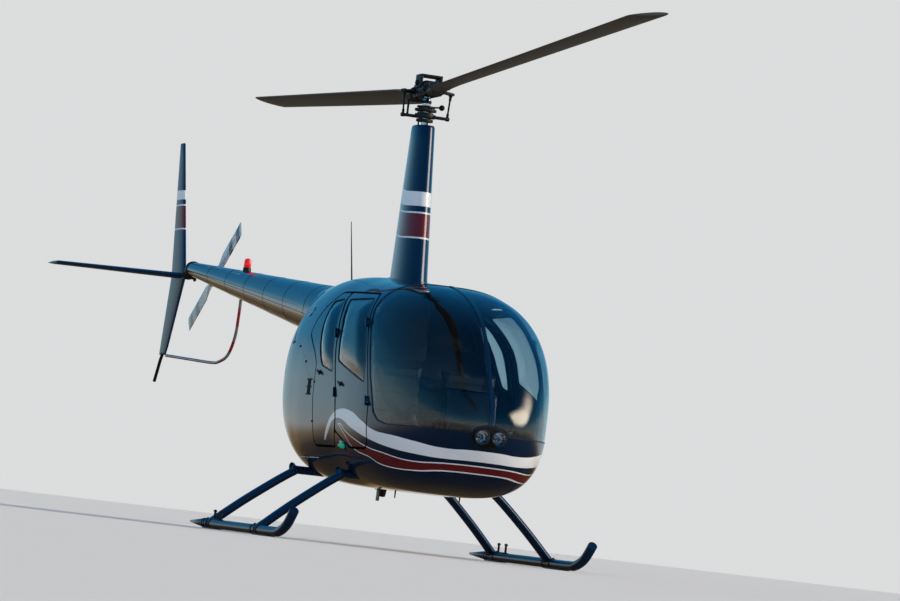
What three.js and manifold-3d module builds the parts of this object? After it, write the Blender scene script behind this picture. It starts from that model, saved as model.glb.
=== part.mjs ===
// A four-seat light helicopter with two main rotor blades, standing on its skids.
// Millimetres, +X to port, +Y aft, +Z up, floor at z = 0, main rotor axis at x = 0, y = 0 in the
// airframe group, which is then moved so that the middle of the whole footprint is at the origin.

import * as THREE from 'three';
import { ParametricGeometry } from 'three/addons/geometries/ParametricGeometry.js';
import { mergeVertices } from 'three/addons/utils/BufferGeometryUtils.js';
import Module from 'manifold-3d';

const wasm = await Module();
wasm.setup();

// Driving sizes
const SEAT_GAP = 0.3;
const DOOR_GAP = 9;
const SKIN = 34;
const DOOR_SKIN = 24;
const GLASS_SKIN = 5;
const MAIN_RADIUS = 5030;
const MAIN_CHORD = 254;
const BLADE_PLANE_Z = 3135;
const CONING = 2.31;
const TEETER = 0.42;
const MAIN_TURN = -92.46;
const TAIL_RADIUS = 737;
const TAIL_CHORD = 130;
const TAIL_ROTOR_Y = 5893;
const TAIL_ROTOR_Z = 1985;
const TAIL_ROTOR_X = 225;
const TAIL_TURN = 30;
const HALF_TRACK = 1030;
const SKID_RADIUS = 32;
const SKID_CENTRE_Z = 36;
const SHOE_THICK = 10;
const LEG_CHORD = 104;
const LEG_THICK = 56;
const FLOOR_Z = 510;
const CABIN_REAR_Y = -285;

// Colours and finishes
const paint = (color, roughness = 0.25, metalness = 0.1) =>
  new THREE.MeshStandardMaterial({ color, roughness, metalness });
const navy = () => paint(0x14233a);
const white = () => paint(0xdfe3e6);
const black = () => paint(0x17181a, 0.6);
const steel = () => paint(0x8a8d90, 0.35, 0.8);
const glass = () => paint(0x8fa6b5, 0.05, 0);
const leather = () => paint(0x9a8466, 0.8, 0);
const red = () => paint(0xc01818, 0.3, 0);
const green = () => paint(0x1c9a4a, 0.3, 0);
const grey = () => paint(0x5c5f63, 0.6, 0.2);

const airframe = new THREE.Group();

function addPart(name, geometry, material, group = airframe) {
  const mesh = new THREE.Mesh(geometry, material);
  mesh.name = name;
  group.add(mesh);
  return mesh;
}

// Solids: a closed three.js geometry becomes a solid, and a solid becomes a geometry again
function toSolid(geometry) {
  const bare = new THREE.BufferGeometry();
  bare.setAttribute('position', geometry.getAttribute('position'));
  bare.setIndex(geometry.getIndex());
  const merged = mergeVertices(bare, 0.01);
  const places = merged.getAttribute('position');
  const index = merged.getIndex().array;
  const corners = [];
  let volume = 0;
  const a = new THREE.Vector3();
  const b = new THREE.Vector3();
  const c = new THREE.Vector3();
  for (let i = 0; i < index.length; i += 3) {
    const [p, q, r] = [index[i], index[i + 1], index[i + 2]];
    if (p === q || q === r || r === p) continue;
    a.fromBufferAttribute(places, p);
    b.fromBufferAttribute(places, q);
    c.fromBufferAttribute(places, r);
    volume += a.dot(b.cross(c));
    corners.push(p, q, r);
  }
  if (volume < 0) corners.reverse();
  return new wasm.Manifold(new wasm.Mesh({
    numProp: 3,
    vertProperties: new Float32Array(places.array),
    triVerts: new Uint32Array(corners),
  }));
}

function toGeometry(solid) {
  const mesh = solid.getMesh();
  const geometry = new THREE.BufferGeometry();
  geometry.setAttribute('position', new THREE.BufferAttribute(new Float32Array(mesh.vertProperties), 3));
  geometry.setIndex(new THREE.BufferAttribute(new Uint32Array(mesh.triVerts), 1));
  return geometry;
}

const joined = (...solids) => solids.reduce((whole, piece) => whole.add(piece));
const without = (solid, ...cutters) => cutters.reduce((rest, cutter) => rest.subtract(cutter), solid);

function mainBody(solid) {
  const bodies = solid.decompose();
  return bodies.reduce((best, body) => (body.volume() > best.volume() ? body : best));
}

// Plain shapes
function box(x0, x1, y0, y1, z0, z1) {
  const geometry = new THREE.BoxGeometry(x1 - x0, y1 - y0, z1 - z0);
  return geometry.translate((x0 + x1) / 2, (y0 + y1) / 2, (z0 + z1) / 2);
}

// A cylinder from one point to another
function rod(from, to, radius, endRadius = radius, sides = 12) {
  const start = new THREE.Vector3(...from);
  const end = new THREE.Vector3(...to);
  const geometry = new THREE.CylinderGeometry(endRadius, radius, start.distanceTo(end), sides);
  const turn = new THREE.Quaternion();
  turn.setFromUnitVectors(new THREE.Vector3(0, 1, 0), end.clone().sub(start).normalize());
  geometry.applyQuaternion(turn);
  const middle = start.add(end).multiplyScalar(0.5);
  return geometry.translate(middle.x, middle.y, middle.z);
}

// An outline of [y, z] points pushed out along x
const SIDE_VIEW = new THREE.Matrix4().makeBasis(
  new THREE.Vector3(0, 1, 0), new THREE.Vector3(0, 0, 1), new THREE.Vector3(1, 0, 0));
function sidePrism(outline, x0 = -900, x1 = 900) {
  const shape = new THREE.Shape(outline.map(([y, z]) => new THREE.Vector2(y, z)));
  const geometry = new THREE.ExtrudeGeometry(shape, { depth: x1 - x0, bevelEnabled: false });
  geometry.translate(0, 0, x0);
  return geometry.applyMatrix4(SIDE_VIEW);
}

// Moves each side of an outline out by a distance, or in where it is negative
function grown(outline, distance) {
  const area = outline.reduce((sum, [x, y], i) => {
    const [nx, ny] = outline[(i + 1) % outline.length];
    return sum + x * ny - nx * y;
  }, 0);
  const side = area > 0 ? distance : -distance;
  return outline.map(([x, y], i) => {
    const before = outline[(i + outline.length - 1) % outline.length];
    const after = outline[(i + 1) % outline.length];
    const into = new THREE.Vector2(x - before[0], y - before[1]).normalize();
    const out = new THREE.Vector2(after[0] - x, after[1] - y).normalize();
    const bend = 1 + into.dot(out);
    return [x + side * (into.y + out.y) / bend, y - side * (into.x + out.x) / bend];
  });
}

// Rounds the corners of an outline
function rounded(outline, radius, steps = 3) {
  const points = [];
  outline.forEach(([x, y], i) => {
    const here = new THREE.Vector2(x, y);
    const before = new THREE.Vector2(...outline[(i + outline.length - 1) % outline.length]);
    const after = new THREE.Vector2(...outline[(i + 1) % outline.length]);
    const turn = before.clone().sub(here).angleTo(after.clone().sub(here));
    if (turn > 2.4) {
      points.push([x, y]);
      return;
    }
    const reach = Math.min(radius, here.distanceTo(before) / 2.2, here.distanceTo(after) / 2.2);
    const curve = new THREE.QuadraticBezierCurve(
      here.clone().add(before.sub(here).setLength(reach)), here,
      here.clone().add(after.sub(here).setLength(reach)));
    curve.getPoints(steps).forEach((point) => points.push([point.x, point.y]));
  });
  return points;
}

// A closed loft: sectionPoint(row, angle, target) places a point, and both ends are closed
function loft(rows, sectionPoint, around = 24) {
  const slices = [rows[0], ...rows, rows[rows.length - 1]];
  const last = slices.length - 1;
  const middle = (row) => {
    const sum = new THREE.Vector3();
    const point = new THREE.Vector3();
    for (let i = 0; i < around; i += 1) {
      sectionPoint(row, (2 * Math.PI * i) / around, point);
      sum.add(point);
    }
    return sum.divideScalar(around);
  };
  return new ParametricGeometry((u, v, target) => {
    const i = Math.round(v * last);
    if (i === 0 || i === last) {
      target.copy(middle(slices[i]));
      return;
    }
    sectionPoint(slices[i], 2 * Math.PI * (u % 1), target);
  }, around, last);
}

// A tube along a path, round or with a second radius of its own
function tube(points, radius, steps, sides = 12, tension = 0.5, otherRadius = radius) {
  const places = points.map((point) => new THREE.Vector3(...point));
  const path = new THREE.CatmullRomCurve3(places, false, 'catmullrom', tension);
  const ring = [];
  for (let i = 0; i < sides; i += 1) {
    const angle = (2 * Math.PI * (i + 0.5)) / sides;
    ring.push(new THREE.Vector2(radius * Math.cos(angle), otherRadius * Math.sin(angle)));
  }
  return new THREE.ExtrudeGeometry(new THREE.Shape(ring), { steps, extrudePath: path });
}

// The fuselage: sections along y, each a rounded shape with its own powers above and below its
// widest line. Columns: y, half width, low z, high z, z of the widest line, power above, below.
const BODY = [
  [-2210, 20, 860, 900, 880, 2.0, 2.0],
  [-2185, 165, 745, 985, 875, 2.1, 2.1],
  [-2115, 300, 640, 1090, 890, 2.3, 2.2],
  [-1990, 415, 545, 1290, 920, 2.5, 3.0],
  [-1785, 520, 455, 1520, 960, 2.6, 3.2],
  [-1480, 600, 405, 1680, 1000, 2.8, 3.4],
  [-1130, 635, 395, 1770, 1030, 2.9, 3.4],
  [-720, 645, 395, 1800, 1050, 2.8, 3.2],
  [-260, 648, 400, 1825, 1070, 2.6, 3.5],
  [155, 642, 410, 1852, 1090, 2.4, 3.2],
  [565, 610, 430, 1860, 1100, 2.2, 2.6],
  [925, 500, 520, 1850, 1180, 2.0, 2.4],
  [1230, 350, 900, 1835, 1400, 2.0, 2.4],
  [1435, 240, 1390, 1820, 1600, 2.0, 2.0],
];

function bodyRow(t) {
  const last = BODY.length - 1;
  const i = Math.min(Math.floor(t), last - 1);
  const f = t - i;
  const before = BODY[Math.max(i - 1, 0)];
  const after = BODY[Math.min(i + 2, last)];
  return BODY[i].map((from, column) => {
    const to = BODY[i + 1][column];
    const slope = (to - before[column]) / 2;
    const nextSlope = (after[column] - from) / 2;
    const bend = 3 * (to - from) - 2 * slope - nextSlope;
    const curl = 2 * (from - to) + slope + nextSlope;
    return from + f * (slope + f * (bend + f * curl));
  });
}

function bodySkin(t, angle, target) {
  const [y, halfWidth, low, high, wide, above, below] = bodyRow(t);
  const c = Math.cos(angle);
  const s = Math.sin(angle);
  const power = 2 / (s > 0 ? above : below);
  const height = s > 0 ? high - wide : wide - low;
  const x = halfWidth * Math.sign(c) * Math.abs(c) ** power;
  return target.set(x, y, wide + height * Math.sign(s) * Math.abs(s) ** power);
}

// The skin moved in along its normal
function bodyPoint(t, angle, inset, target) {
  bodySkin(t, angle, target);
  if (inset === 0) return target;
  const step = 0.01;
  const last = BODY.length - 1;
  const along = new THREE.Vector3();
  const around = new THREE.Vector3();
  const back = new THREE.Vector3();
  bodySkin(Math.min(t + step, last), angle, along).sub(bodySkin(Math.max(t - step, 0), angle, back));
  bodySkin(t, angle + step, around).sub(bodySkin(t, angle - step, back));
  return target.addScaledVector(along.cross(around).normalize(), -inset);
}

const BODY_STEPS = [0, 0.5, 1, 1.5, 2, 2.5, 3, 3.5, 4, 4.5, 5, 5.5, 6, 7, 8, 9, 10, 10.5, 11, 12, 13];
const BODY_AROUND = 32;

function bodySolid(inset, openRear = false) {
  const last = BODY.length - 1;
  return toSolid(loft(BODY_STEPS, (t, angle, target) => {
    bodyPoint(t, angle, inset, target);
    if (openRear && t === last) target.y += 80;
    return target;
  }, BODY_AROUND));
}

const outerBody = bodySolid(0);
const outerBodyFat = bodySolid(-SEAT_GAP);
const shellOf = (outer, inner) => bodySolid(outer).subtract(bodySolid(inner, true));
const wall = shellOf(0, SKIN);

// Openings of the cabin as seen from the side, as [y, z] outlines
const WINDSHIELD = [[-2500, 806], [-1690, 806], [-1590, 826], [-1521, 880], [-1493, 957], [-1437, 1087],
  [-1379, 1217], [-1303, 1350], [-1199, 1472], [-1127, 1557], [-1082, 1640], [-1051, 1717], [-1000, 1900],
  [-2500, 1900]];
const DOOR_SPLIT = [[-800, 640], [-851, 830], [-803, 1009], [-716, 1205], [-615, 1415], [-480, 1558],
  [-350, 1640], [-290, 1700]];
// The front door stops a little short of the split, since its rear edge swings towards the rear door,
// and its lower rear corner is cut off slantwise above the position lamp on the hull
const FRONT_DOOR_SHORT = 4;
const SLANT = [[-1130, 640], [-834, 745]];
const shortSplit = DOOR_SPLIT.slice(1).map(([y, z]) => [y - FRONT_DOOR_SHORT, z]);
const FRONT_EDGE = [[-960, 1680], [-1030, 1632], [-1100, 1557], [-1174, 1472], [-1278, 1350], [-1354, 1217],
  [-1408, 1087], [-1455, 930], [-1455, 680], [-1415, 640]];
const FRONT_DOOR = [...SLANT, ...shortSplit, ...FRONT_EDGE];
const REAR_EDGE = [[-375, 640], [-345, 670], [-336, 833], [-299, 959], [-290, 1190], [-199, 1270],
  [32, 1400], [25, 1490], [-6, 1580], [-85, 1700]];
// The rear door's upper corner swings back as the door opens, so it is trimmed by this much more
const CORNER_TRIM = 7;
const rearTrim = (z) => CORNER_TRIM * THREE.MathUtils.smoothstep(z, 1380, 1580);
const REAR_DOOR = [...REAR_EDGE.map(([y, z]) => [y - rearTrim(z), z]), ...[...DOOR_SPLIT].reverse()];
const SILL_DROP = 2;
const DOORWAY = [DOOR_SPLIT[0], ...REAR_EDGE, ...DOOR_SPLIT.slice(-1), ...FRONT_EDGE, ...SLANT]
  .map(([y, z]) => [y, z === 640 ? z - SILL_DROP : z]);
const FRONT_WINDOW = [[-1345, 1066], [-1069, 1135], [-776, 1206], [-745, 1278], [-674, 1416], [-545, 1550],
  [-430, 1645], [-930, 1648], [-985, 1625], [-1060, 1557], [-1142, 1472], [-1248, 1350], [-1325, 1217]];
const REAR_WINDOW = [[-690, 1130], [-430, 1172], [-385, 1205], [-309, 1283], [-213, 1418], [-149, 1534],
  [-95, 1635], [-290, 1652], [-335, 1625], [-425, 1555], [-555, 1415], [-640, 1250]];
const REAR_CUT = [[462, 200], [462, 450], [514, 600], [678, 1050], [924, 1400], [1284, 1500], [1600, 1600],
  [1600, 200]];
const HULL_SIDE = [[-2500, 200], [470, 200], [470, 560], [-341, 560], [-341, 660], [-500, 720], [-900, 930],
  [-2500, 930]];
const ROOF_SIDE = [[-2500, 930], [-900, 930], [-300, 1600], [62, 1600], [62, 2000], [-2500, 2000]];
const SIDE_COWL = [[-341, 560], [-341, 1077], [-283, 1077], [-116, 1122], [-9, 1223], [219, 1327],
  [1000, 1402], [1000, 560]];

const prism = (outline, x0, x1) => toSolid(sidePrism(outline, x0, x1));
const doorway = prism(rounded(grown(DOORWAY, DOOR_GAP / 2), 30));
const rearCut = prism(REAR_CUT);

// Lamp housing in the middle of the nose, which rises into the windshield
const LAMP_X = 50;
const LAMP_Z = 790;
const LAMP_RADIUS = 42;
const LAMP_FRONT_Y = -2225;
const LAMP_BACK_Y = -2150;
function lampHousing(extra) {
  const oval = new THREE.CylinderGeometry(1, 1, 700, 24);
  oval.scale(125 + extra, 1, 82 + extra);
  return toSolid(oval.translate(0, -2200, LAMP_Z));
}
const windshieldHole = without(prism(grown(WINDSHIELD, SEAT_GAP)), lampHousing(0));
const lamp = (side, extra = 0) => toSolid(
  rod([side * LAMP_X, LAMP_FRONT_Y - extra, LAMP_Z], [side * LAMP_X, LAMP_BACK_Y + extra, LAMP_Z],
    LAMP_RADIUS + extra, LAMP_RADIUS + extra, 20));

// Skid gear: two bent cross tubes with legs down to the skids. Columns: name, y at the belly, y at the skid
const CROSS_TUBES = [
  ['front_cross_tube', -797, -681],
  ['rear_cross_tube', 324, 515],
];
const LEG_TOP_X = 545;
const CROSS_Z = 470;
// Wear shoes under each skid, by their front and rear y
const SHOES = [[-1040, -640], [280, 640]];
// The heel tapers to a blunt tip from here back
const TAPER_Y = 655;
const SKID_HEEL_Y = 1035;
const HEEL_TIP_RADIUS = 7;
const SKID_BEND_Y = -1230;
const SKID_TOE_Y = -1500;
const SKID_TOE_Z = 185;

function crossTube(yBelly, ySkid, extra = 0) {
  const points = [];
  for (const side of [-1, 1]) {
    const leg = [
      [side * HALF_TRACK, ySkid, SKID_CENTRE_Z + 8],
      [side * (HALF_TRACK - 20), ySkid - 0.04 * (ySkid - yBelly), 62],
      [side * 800, yBelly + 0.52 * (ySkid - yBelly), 250],
      [side * LEG_TOP_X, yBelly, CROSS_Z - 18],
      [side * 460, yBelly, CROSS_Z],
    ];
    points.push(...(side < 0 ? leg : leg.reverse()));
  }
  return toSolid(tube(points, LEG_CHORD / 2 + extra, 26, 12, 0.5, LEG_THICK / 2 + extra));
}

function skidTube(side, extra = 0) {
  const x = side * HALF_TRACK;
  const z = SKID_CENTRE_Z;
  const points = [[x, TAPER_Y, z], [x, 300, z], [x, -500, z], [x, -1080, z],
    [x, SKID_BEND_Y, z + 10], [x, -1375, z + 58], [x, SKID_TOE_Y, SKID_TOE_Z]];
  const pipe = toSolid(tube(points, SKID_RADIUS + extra, 14, 12, 0.4));
  const shoes = SHOES.map(([y0, y1]) => toSolid(box(x - 22, x + 22, y0, y1, 0, SHOE_THICK)));
  const heel = toSolid(rod([x, TAPER_Y - 1, z], [x, SKID_HEEL_Y, z], SKID_RADIUS + extra, HEEL_TIP_RADIUS));
  return joined(pipe, heel, ...shoes);
}

for (const [name, yBelly, ySkid] of CROSS_TUBES) {
  const legs = without(crossTube(yBelly, ySkid), skidTube(-1, SEAT_GAP), skidTube(1, SEAT_GAP));
  addPart(name, toGeometry(mainBody(legs)), navy());
}
addPart('skid_left', toGeometry(skidTube(1)), navy());
addPart('skid_right', toGeometry(skidTube(-1)), navy());
const gearCuts = CROSS_TUBES.map(([, yBelly, ySkid]) => crossTube(yBelly, ySkid, SEAT_GAP));

// Nose, belly and sills
const hull = without(
  wall.intersect(prism(HULL_SIDE)).add(wall.intersect(lampHousing(0)).intersect(prism(HULL_SIDE))),
  windshieldHole, doorway, rearCut, lamp(1, SEAT_GAP), lamp(-1, SEAT_GAP), ...gearCuts);
addPart('lower_hull', toGeometry(mainBody(hull)), navy());
addPart('landing_lamp_left', toGeometry(lamp(1)), glass());
addPart('landing_lamp_right', toGeometry(lamp(-1)), glass());

// Roof with the windshield posts, and the middle bow
const roofZone = prism(grown(ROOF_SIDE, -SEAT_GAP));
const roof = without(wall.intersect(roofZone), windshieldHole, doorway);

// Engine cowls
const hullZone = prism(grown(HULL_SIDE, SEAT_GAP));
const BOOM_START_Y = 1150;
const BOOM_END_Y = 5735;
const boomCentreZ = (y) => 1673 + 0.0959 * (y - 2138);
const boomRadius = (y) => 178 - 0.0335 * (y - 2138);
const boom = (extra = 0) => toSolid(rod(
  [0, BOOM_START_Y - extra, boomCentreZ(BOOM_START_Y)], [0, BOOM_END_Y + extra, boomCentreZ(BOOM_END_Y)],
  boomRadius(BOOM_START_Y) + extra, boomRadius(BOOM_END_Y) + extra, 28));
const cowl = without(wall, hullZone, prism(ROOF_SIDE), prism(WINDSHIELD), doorway, rearCut, boom(SEAT_GAP));
const sideCowl = prism(SIDE_COWL);
addPart('upper_cowl', toGeometry(mainBody(cowl.subtract(sideCowl))), navy());
for (const [name, x0, x1] of [['side_cowl_left', 100, 900], ['side_cowl_right', -900, -100]]) {
  const panel = cowl.intersect(prism(grown(SIDE_COWL, -SEAT_GAP), x0, x1));
  addPart(name, toGeometry(mainBody(panel)), navy());
}
addPart('tail_boom', toGeometry(boom()), navy());

// Doors. Each hinge line is straight and stands just outside the skin, a little behind the front edge.
// Columns: name, outline, window, low and high hinge [x, y, z], foot of the fixed leaf beside each,
// handle [x, y, z]
const DOORS = [
  ['front', FRONT_DOOR, FRONT_WINDOW, [[622, -1437, 952], [598, -1172, 1472]],
    [[592, -1471, 950], [560, -1190, 1468]], [644, -905, 1055]],
  ['rear', REAR_DOOR, REAR_WINDOW, [[652, -795, 1000], [632, -612, 1400]],
    [[592, -795, 1000], [568, -612, 1400]], [652, -405, 1130]],
];
const KNUCKLE = { radius: 6.5, half: 12, length: 34, gap: 0.5, leaf: 3 };

// A flat bar between two points, its width along the hinge line
function leafBar(from, to, along, low, high, thick) {
  const start = new THREE.Vector3(...from);
  const reach = new THREE.Vector3(...to).sub(start);
  const up = along.clone().normalize();
  reach.addScaledVector(up, -reach.dot(up));
  const geometry = new THREE.BoxGeometry(reach.length() + thick, thick * 2, high - low);
  geometry.translate(reach.length() / 2, 0, (low + high) / 2);
  const forward = reach.clone().normalize();
  geometry.applyMatrix4(new THREE.Matrix4().makeBasis(forward, up.clone().cross(forward), up));
  return toSolid(geometry.translate(...start.toArray()));
}

function hingeParts(line, feet, side) {
  const mirror = ([x, y, z]) => [side * x, y, z];
  const ends = line.map((place) => new THREE.Vector3(...mirror(place)));
  const along = ends[1].clone().sub(ends[0]).normalize();
  const barrel = (centre, low, high, radius) => toSolid(rod(
    centre.clone().addScaledVector(along, low).toArray(),
    centre.clone().addScaledVector(along, high).toArray(), radius, radius, 8));
  const { radius, half, length, gap, leaf } = KNUCKLE;
  const fixed = [];
  const moving = [];
  const notches = [];
  ends.forEach((centre, i) => {
    const foot = mirror(feet[i]);
    const plate = (end, low, high, depth) => leafBar(centre.toArray(), end, along, low, high, depth);
    fixed.push(barrel(centre, -half, half, radius), plate(foot, -half, half, leaf));
    notches.push(plate(foot, -half - DOOR_GAP, half + DOOR_GAP, leaf + DOOR_GAP));
    const doorFoot = [centre.x - side * 28, centre.y + 12, centre.z];
    for (const [low, high] of [[half + gap, length], [-length, -half - gap]]) {
      moving.push(barrel(centre, low, high, radius), plate(doorFoot, low, high, leaf));
    }
  });
  return { fixed: joined(...fixed), moving: joined(...moving), notches: joined(...notches) };
}
const doorSkin = shellOf(0, DOOR_SKIN);
const glassSkin = shellOf(8, 8 + GLASS_SKIN);
const postSkin = shellOf(SKIN + SEAT_GAP, 60);

const fixedHinges = { front: [], rear: [] };
for (const [place, outline, window, line, feet, grip] of DOORS) {
  const panel = doorSkin.intersect(prism(rounded(grown(outline, -DOOR_GAP / 2), 30)));
  const hole = prism(rounded(window, 28));
  const pane = glassSkin.intersect(prism(rounded(grown(window, -SEAT_GAP), 28)));
  for (const [name, side] of [['left', 1], ['right', -1]]) {
    const half = toSolid(box(side > 0 ? 100 : -900, side > 0 ? 900 : -100, -2500, 1600, 200, 2000));
    const hinge = hingeParts(line, feet, side);
    const [x, y, z] = grip;
    const handle = toSolid(rod([side * x, y - 45, z], [side * x, y + 45, z], 9, 9, 8));
    const door = joined(without(panel.intersect(half), hole, hinge.notches), hinge.moving, handle);
    addPart(`${place}_door_${name}`, toGeometry(mainBody(door)), navy());
    addPart(`${place}_window_${name}`, toGeometry(mainBody(pane.intersect(half))), glass());
    fixedHinges[place].push(hinge.fixed);
  }
}

// Post between the doors, behind their edges
const POST_HALF = 34;
const splitBack = DOOR_SPLIT.map(([y, z]) => [y + POST_HALF, z]);
const splitFront = DOOR_SPLIT.map(([y, z]) => [y - POST_HALF, z]);
const POST_SIDE = [[-800 - POST_HALF, 580], [-800 + POST_HALF, 580], ...splitBack,
  [-255, 1745], [-325, 1745], ...splitFront.reverse()];
for (const [i, name, x0, x1] of [[0, 'door_post_left', 300, 900], [1, 'door_post_right', -900, -300]]) {
  const post = postSkin.intersect(prism(POST_SIDE, x0, x1)).add(fixedHinges.rear[i]);
  addPart(name, toGeometry(mainBody(post)), navy());
}
addPart('roof_frame', toGeometry(mainBody(joined(roof, ...fixedHinges.front))), navy());

const BOW_HALF = 20;
const bow = without(wall.intersect(prism(grown(WINDSHIELD, -SEAT_GAP), -BOW_HALF, BOW_HALF)),
  lampHousing(SEAT_GAP));
addPart('windshield_bow', toGeometry(mainBody(bow)), navy());
const pane = without(shellOf(3, 3 + GLASS_SKIN).intersect(prism(WINDSHIELD)), lampHousing(SEAT_GAP));
for (const [name, x0, x1] of [['windshield_left', BOW_HALF + SEAT_GAP, 900],
  ['windshield_right', -900, -BOW_HALF - SEAT_GAP]]) {
  const half = toSolid(box(x0, x1, -2500, 1600, 200, 2000));
  addPart(name, toGeometry(mainBody(pane.intersect(half))), glass());
}

// Cabin floor and the wall behind the rear seats
const cabinSpace = bodySolid(SKIN + SEAT_GAP);
const FLOOR_THICK = 12;
const floor = cabinSpace.intersect(toSolid(
  box(-800, 800, -1900, CABIN_REAR_Y - SEAT_GAP, FLOOR_Z, FLOOR_Z + FLOOR_THICK)));
addPart('cabin_floor', toGeometry(mainBody(floor)), grey());
const BULKHEAD = [[CABIN_REAR_Y, 440], [CABIN_REAR_Y, 1192], [48, 1408], [64, 1500], [64, 1950],
  [80, 1950], [80, 1496], [62, 1396], [CABIN_REAR_Y + 16, 1184], [CABIN_REAR_Y + 16, 440]];
const gearboxCover = toSolid(sidePrism([[-110, 1290], [-110, 1950], [70, 1950], [70, 1410]], -170, 170));
const bulkhead = without(cabinSpace.intersect(prism(BULKHEAD).add(gearboxCover)));
addPart('cabin_bulkhead', toGeometry(mainBody(bulkhead)), leather());

// Seats: a base box for each row, and a padded cushion with its back for each place
const DECK_Z = FLOOR_Z + FLOOR_THICK + SEAT_GAP;
// Columns: row, base front y, base rear y, base top z, outline of cushion and back
const SEAT_ROWS = [
  ['front', -1260, -840, 700, [[-1270, 700], [-1270, 790], [-1235, 815], [-930, 790], [-845, 1270],
    [-820, 1300], [-770, 1290], [-760, 1255], [-835, 700]]],
  ['rear', -700, -300, 700, [[-710, 700], [-710, 790], [-675, 815], [-395, 790], [-345, 1200], [-325, 1230],
    [-290, 1225], [-287, 1180], [-287, 700]]],
];
const SEAT_BASE_HALF = 510;
const SEAT_CENTRE = 262;
const SEAT_WIDTH = 450;
for (const [row, front, back, top, outline] of SEAT_ROWS) {
  const block = toSolid(box(-SEAT_BASE_HALF, SEAT_BASE_HALF, front, back, DECK_Z, top));
  const base = block.intersect(cabinSpace);
  addPart(`${row}_seat_base`, toGeometry(mainBody(base)), grey());
  const cushion = outline.map(([y, z]) => [y, z === top ? top + SEAT_GAP : z]);
  for (const [side, sign] of [['left', 1], ['right', -1]]) {
    const middle = sign * SEAT_CENTRE;
    const seat = sidePrism(cushion, middle - SEAT_WIDTH / 2, middle + SEAT_WIDTH / 2);
    addPart(`${row}_seat_${side}`, seat, leather());
  }
}

// Instrument pedestal and the control stick with its cross bar
const pedestal = joined(
  toSolid(sidePrism([[-1800, DECK_Z], [-1560, DECK_Z], [-1600, 800], [-1790, 800]], -105, 105)),
  toSolid(sidePrism([[-1800, 790], [-1640, 790], [-1670, 1090], [-1780, 1075]], -165, 165)));
addPart('instrument_pedestal', toGeometry(pedestal), black());
const stick = joined(
  toSolid(rod([0, -1378, DECK_Z], [0, -1378, 960], 19)),
  toSolid(rod([-300, -1378, 955], [300, -1378, 955], 12)),
  toSolid(rod([-290, -1378, 960], [-300, -1350, 840], 15)),
  toSolid(rod([290, -1378, 960], [300, -1350, 840], 15)));
addPart('control_stick', toGeometry(stick), black());

// Engine, cooling fan scroll and exhaust in the open rear bay
const ENGINE_REAR_Y = 400;
const engineFeet = [-1, 1].map((side) => toSolid(
  box(side * 200 - 30, side * 200 + 30, 300, 350, CROSS_Z + 10, 530)).subtract(gearCuts[1]));
const engine = joined(toSolid(box(-350, 350, -60, ENGINE_REAR_Y, 520, 930)), ...engineFeet);
addPart('engine', toGeometry(mainBody(engine)), steel());
addPart('fan_scroll', rod([0, ENGINE_REAR_Y + SEAT_GAP, 800], [0, 540, 800], 235, 235, 28), white());
const exhaust = joined(
  toSolid(rod([-260, 525, 505], [260, 525, 505], 50)),
  toSolid(rod([190, 525, 505], [190, 600, 370], 30)),
  ...[-150, 150].map((x) => toSolid(rod([x, ENGINE_REAR_Y + SEAT_GAP, 538], [x, 525, 538], 22))));
addPart('exhaust', toGeometry(exhaust), steel());

// Mast fairing. Columns: z, chord, thickness, y of the middle
const MAST_ROWS = [
  [1760, 612, 206, -20],
  [1900, 575, 194, -10],
  [2300, 480, 168, 12],
  [2905, 340, 128, 40],
];
const mastFairing = toSolid(loft(MAST_ROWS, ([z, chord, thick, middle], angle, target) => {
  const along = Math.cos(angle);
  return target.set(0.5 * thick * Math.sin(angle) * (1 - 0.3 * along), middle + 0.5 * chord * along, z);
}, 28));
addPart('mast_fairing', toGeometry(mastFairing.subtract(outerBodyFat)), navy());

// Whip aerial on the upper cowl, beacon on the boom, and the position lamps
const whip = toSolid(rod([0, 1270, 1790], [0, 1470, 2285], 7, 3, 8));
addPart('whip_aerial', toGeometry(whip.subtract(outerBodyFat)), black());
const BEACON_Y = 4120;
const beaconSeat = boomCentreZ(BEACON_Y) + boomRadius(BEACON_Y);
const beacon = joined(
  toSolid(rod([0, BEACON_Y, beaconSeat - 20], [0, BEACON_Y, beaconSeat + 22], 33)),
  toSolid(rod([0, BEACON_Y, beaconSeat + 20], [0, BEACON_Y, beaconSeat + 75], 30, 27)),
  toSolid(rod([0, BEACON_Y, beaconSeat + 74], [0, BEACON_Y, beaconSeat + 98], 27, 14)));
addPart('beacon', toGeometry(beacon.subtract(boom(SEAT_GAP))), red());
const NAV_Y = -989;
const NAV_Z = 650;
for (const [name, side, color] of [['nav_lamp_left', 1, red], ['nav_lamp_right', -1, green]]) {
  const bulb = new THREE.SphereGeometry(1, 10, 8).scale(30, 48, 20).translate(side * 604, NAV_Y, NAV_Z);
  addPart(name, toGeometry(mainBody(toSolid(bulb).subtract(outerBodyFat))), color());
}

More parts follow.
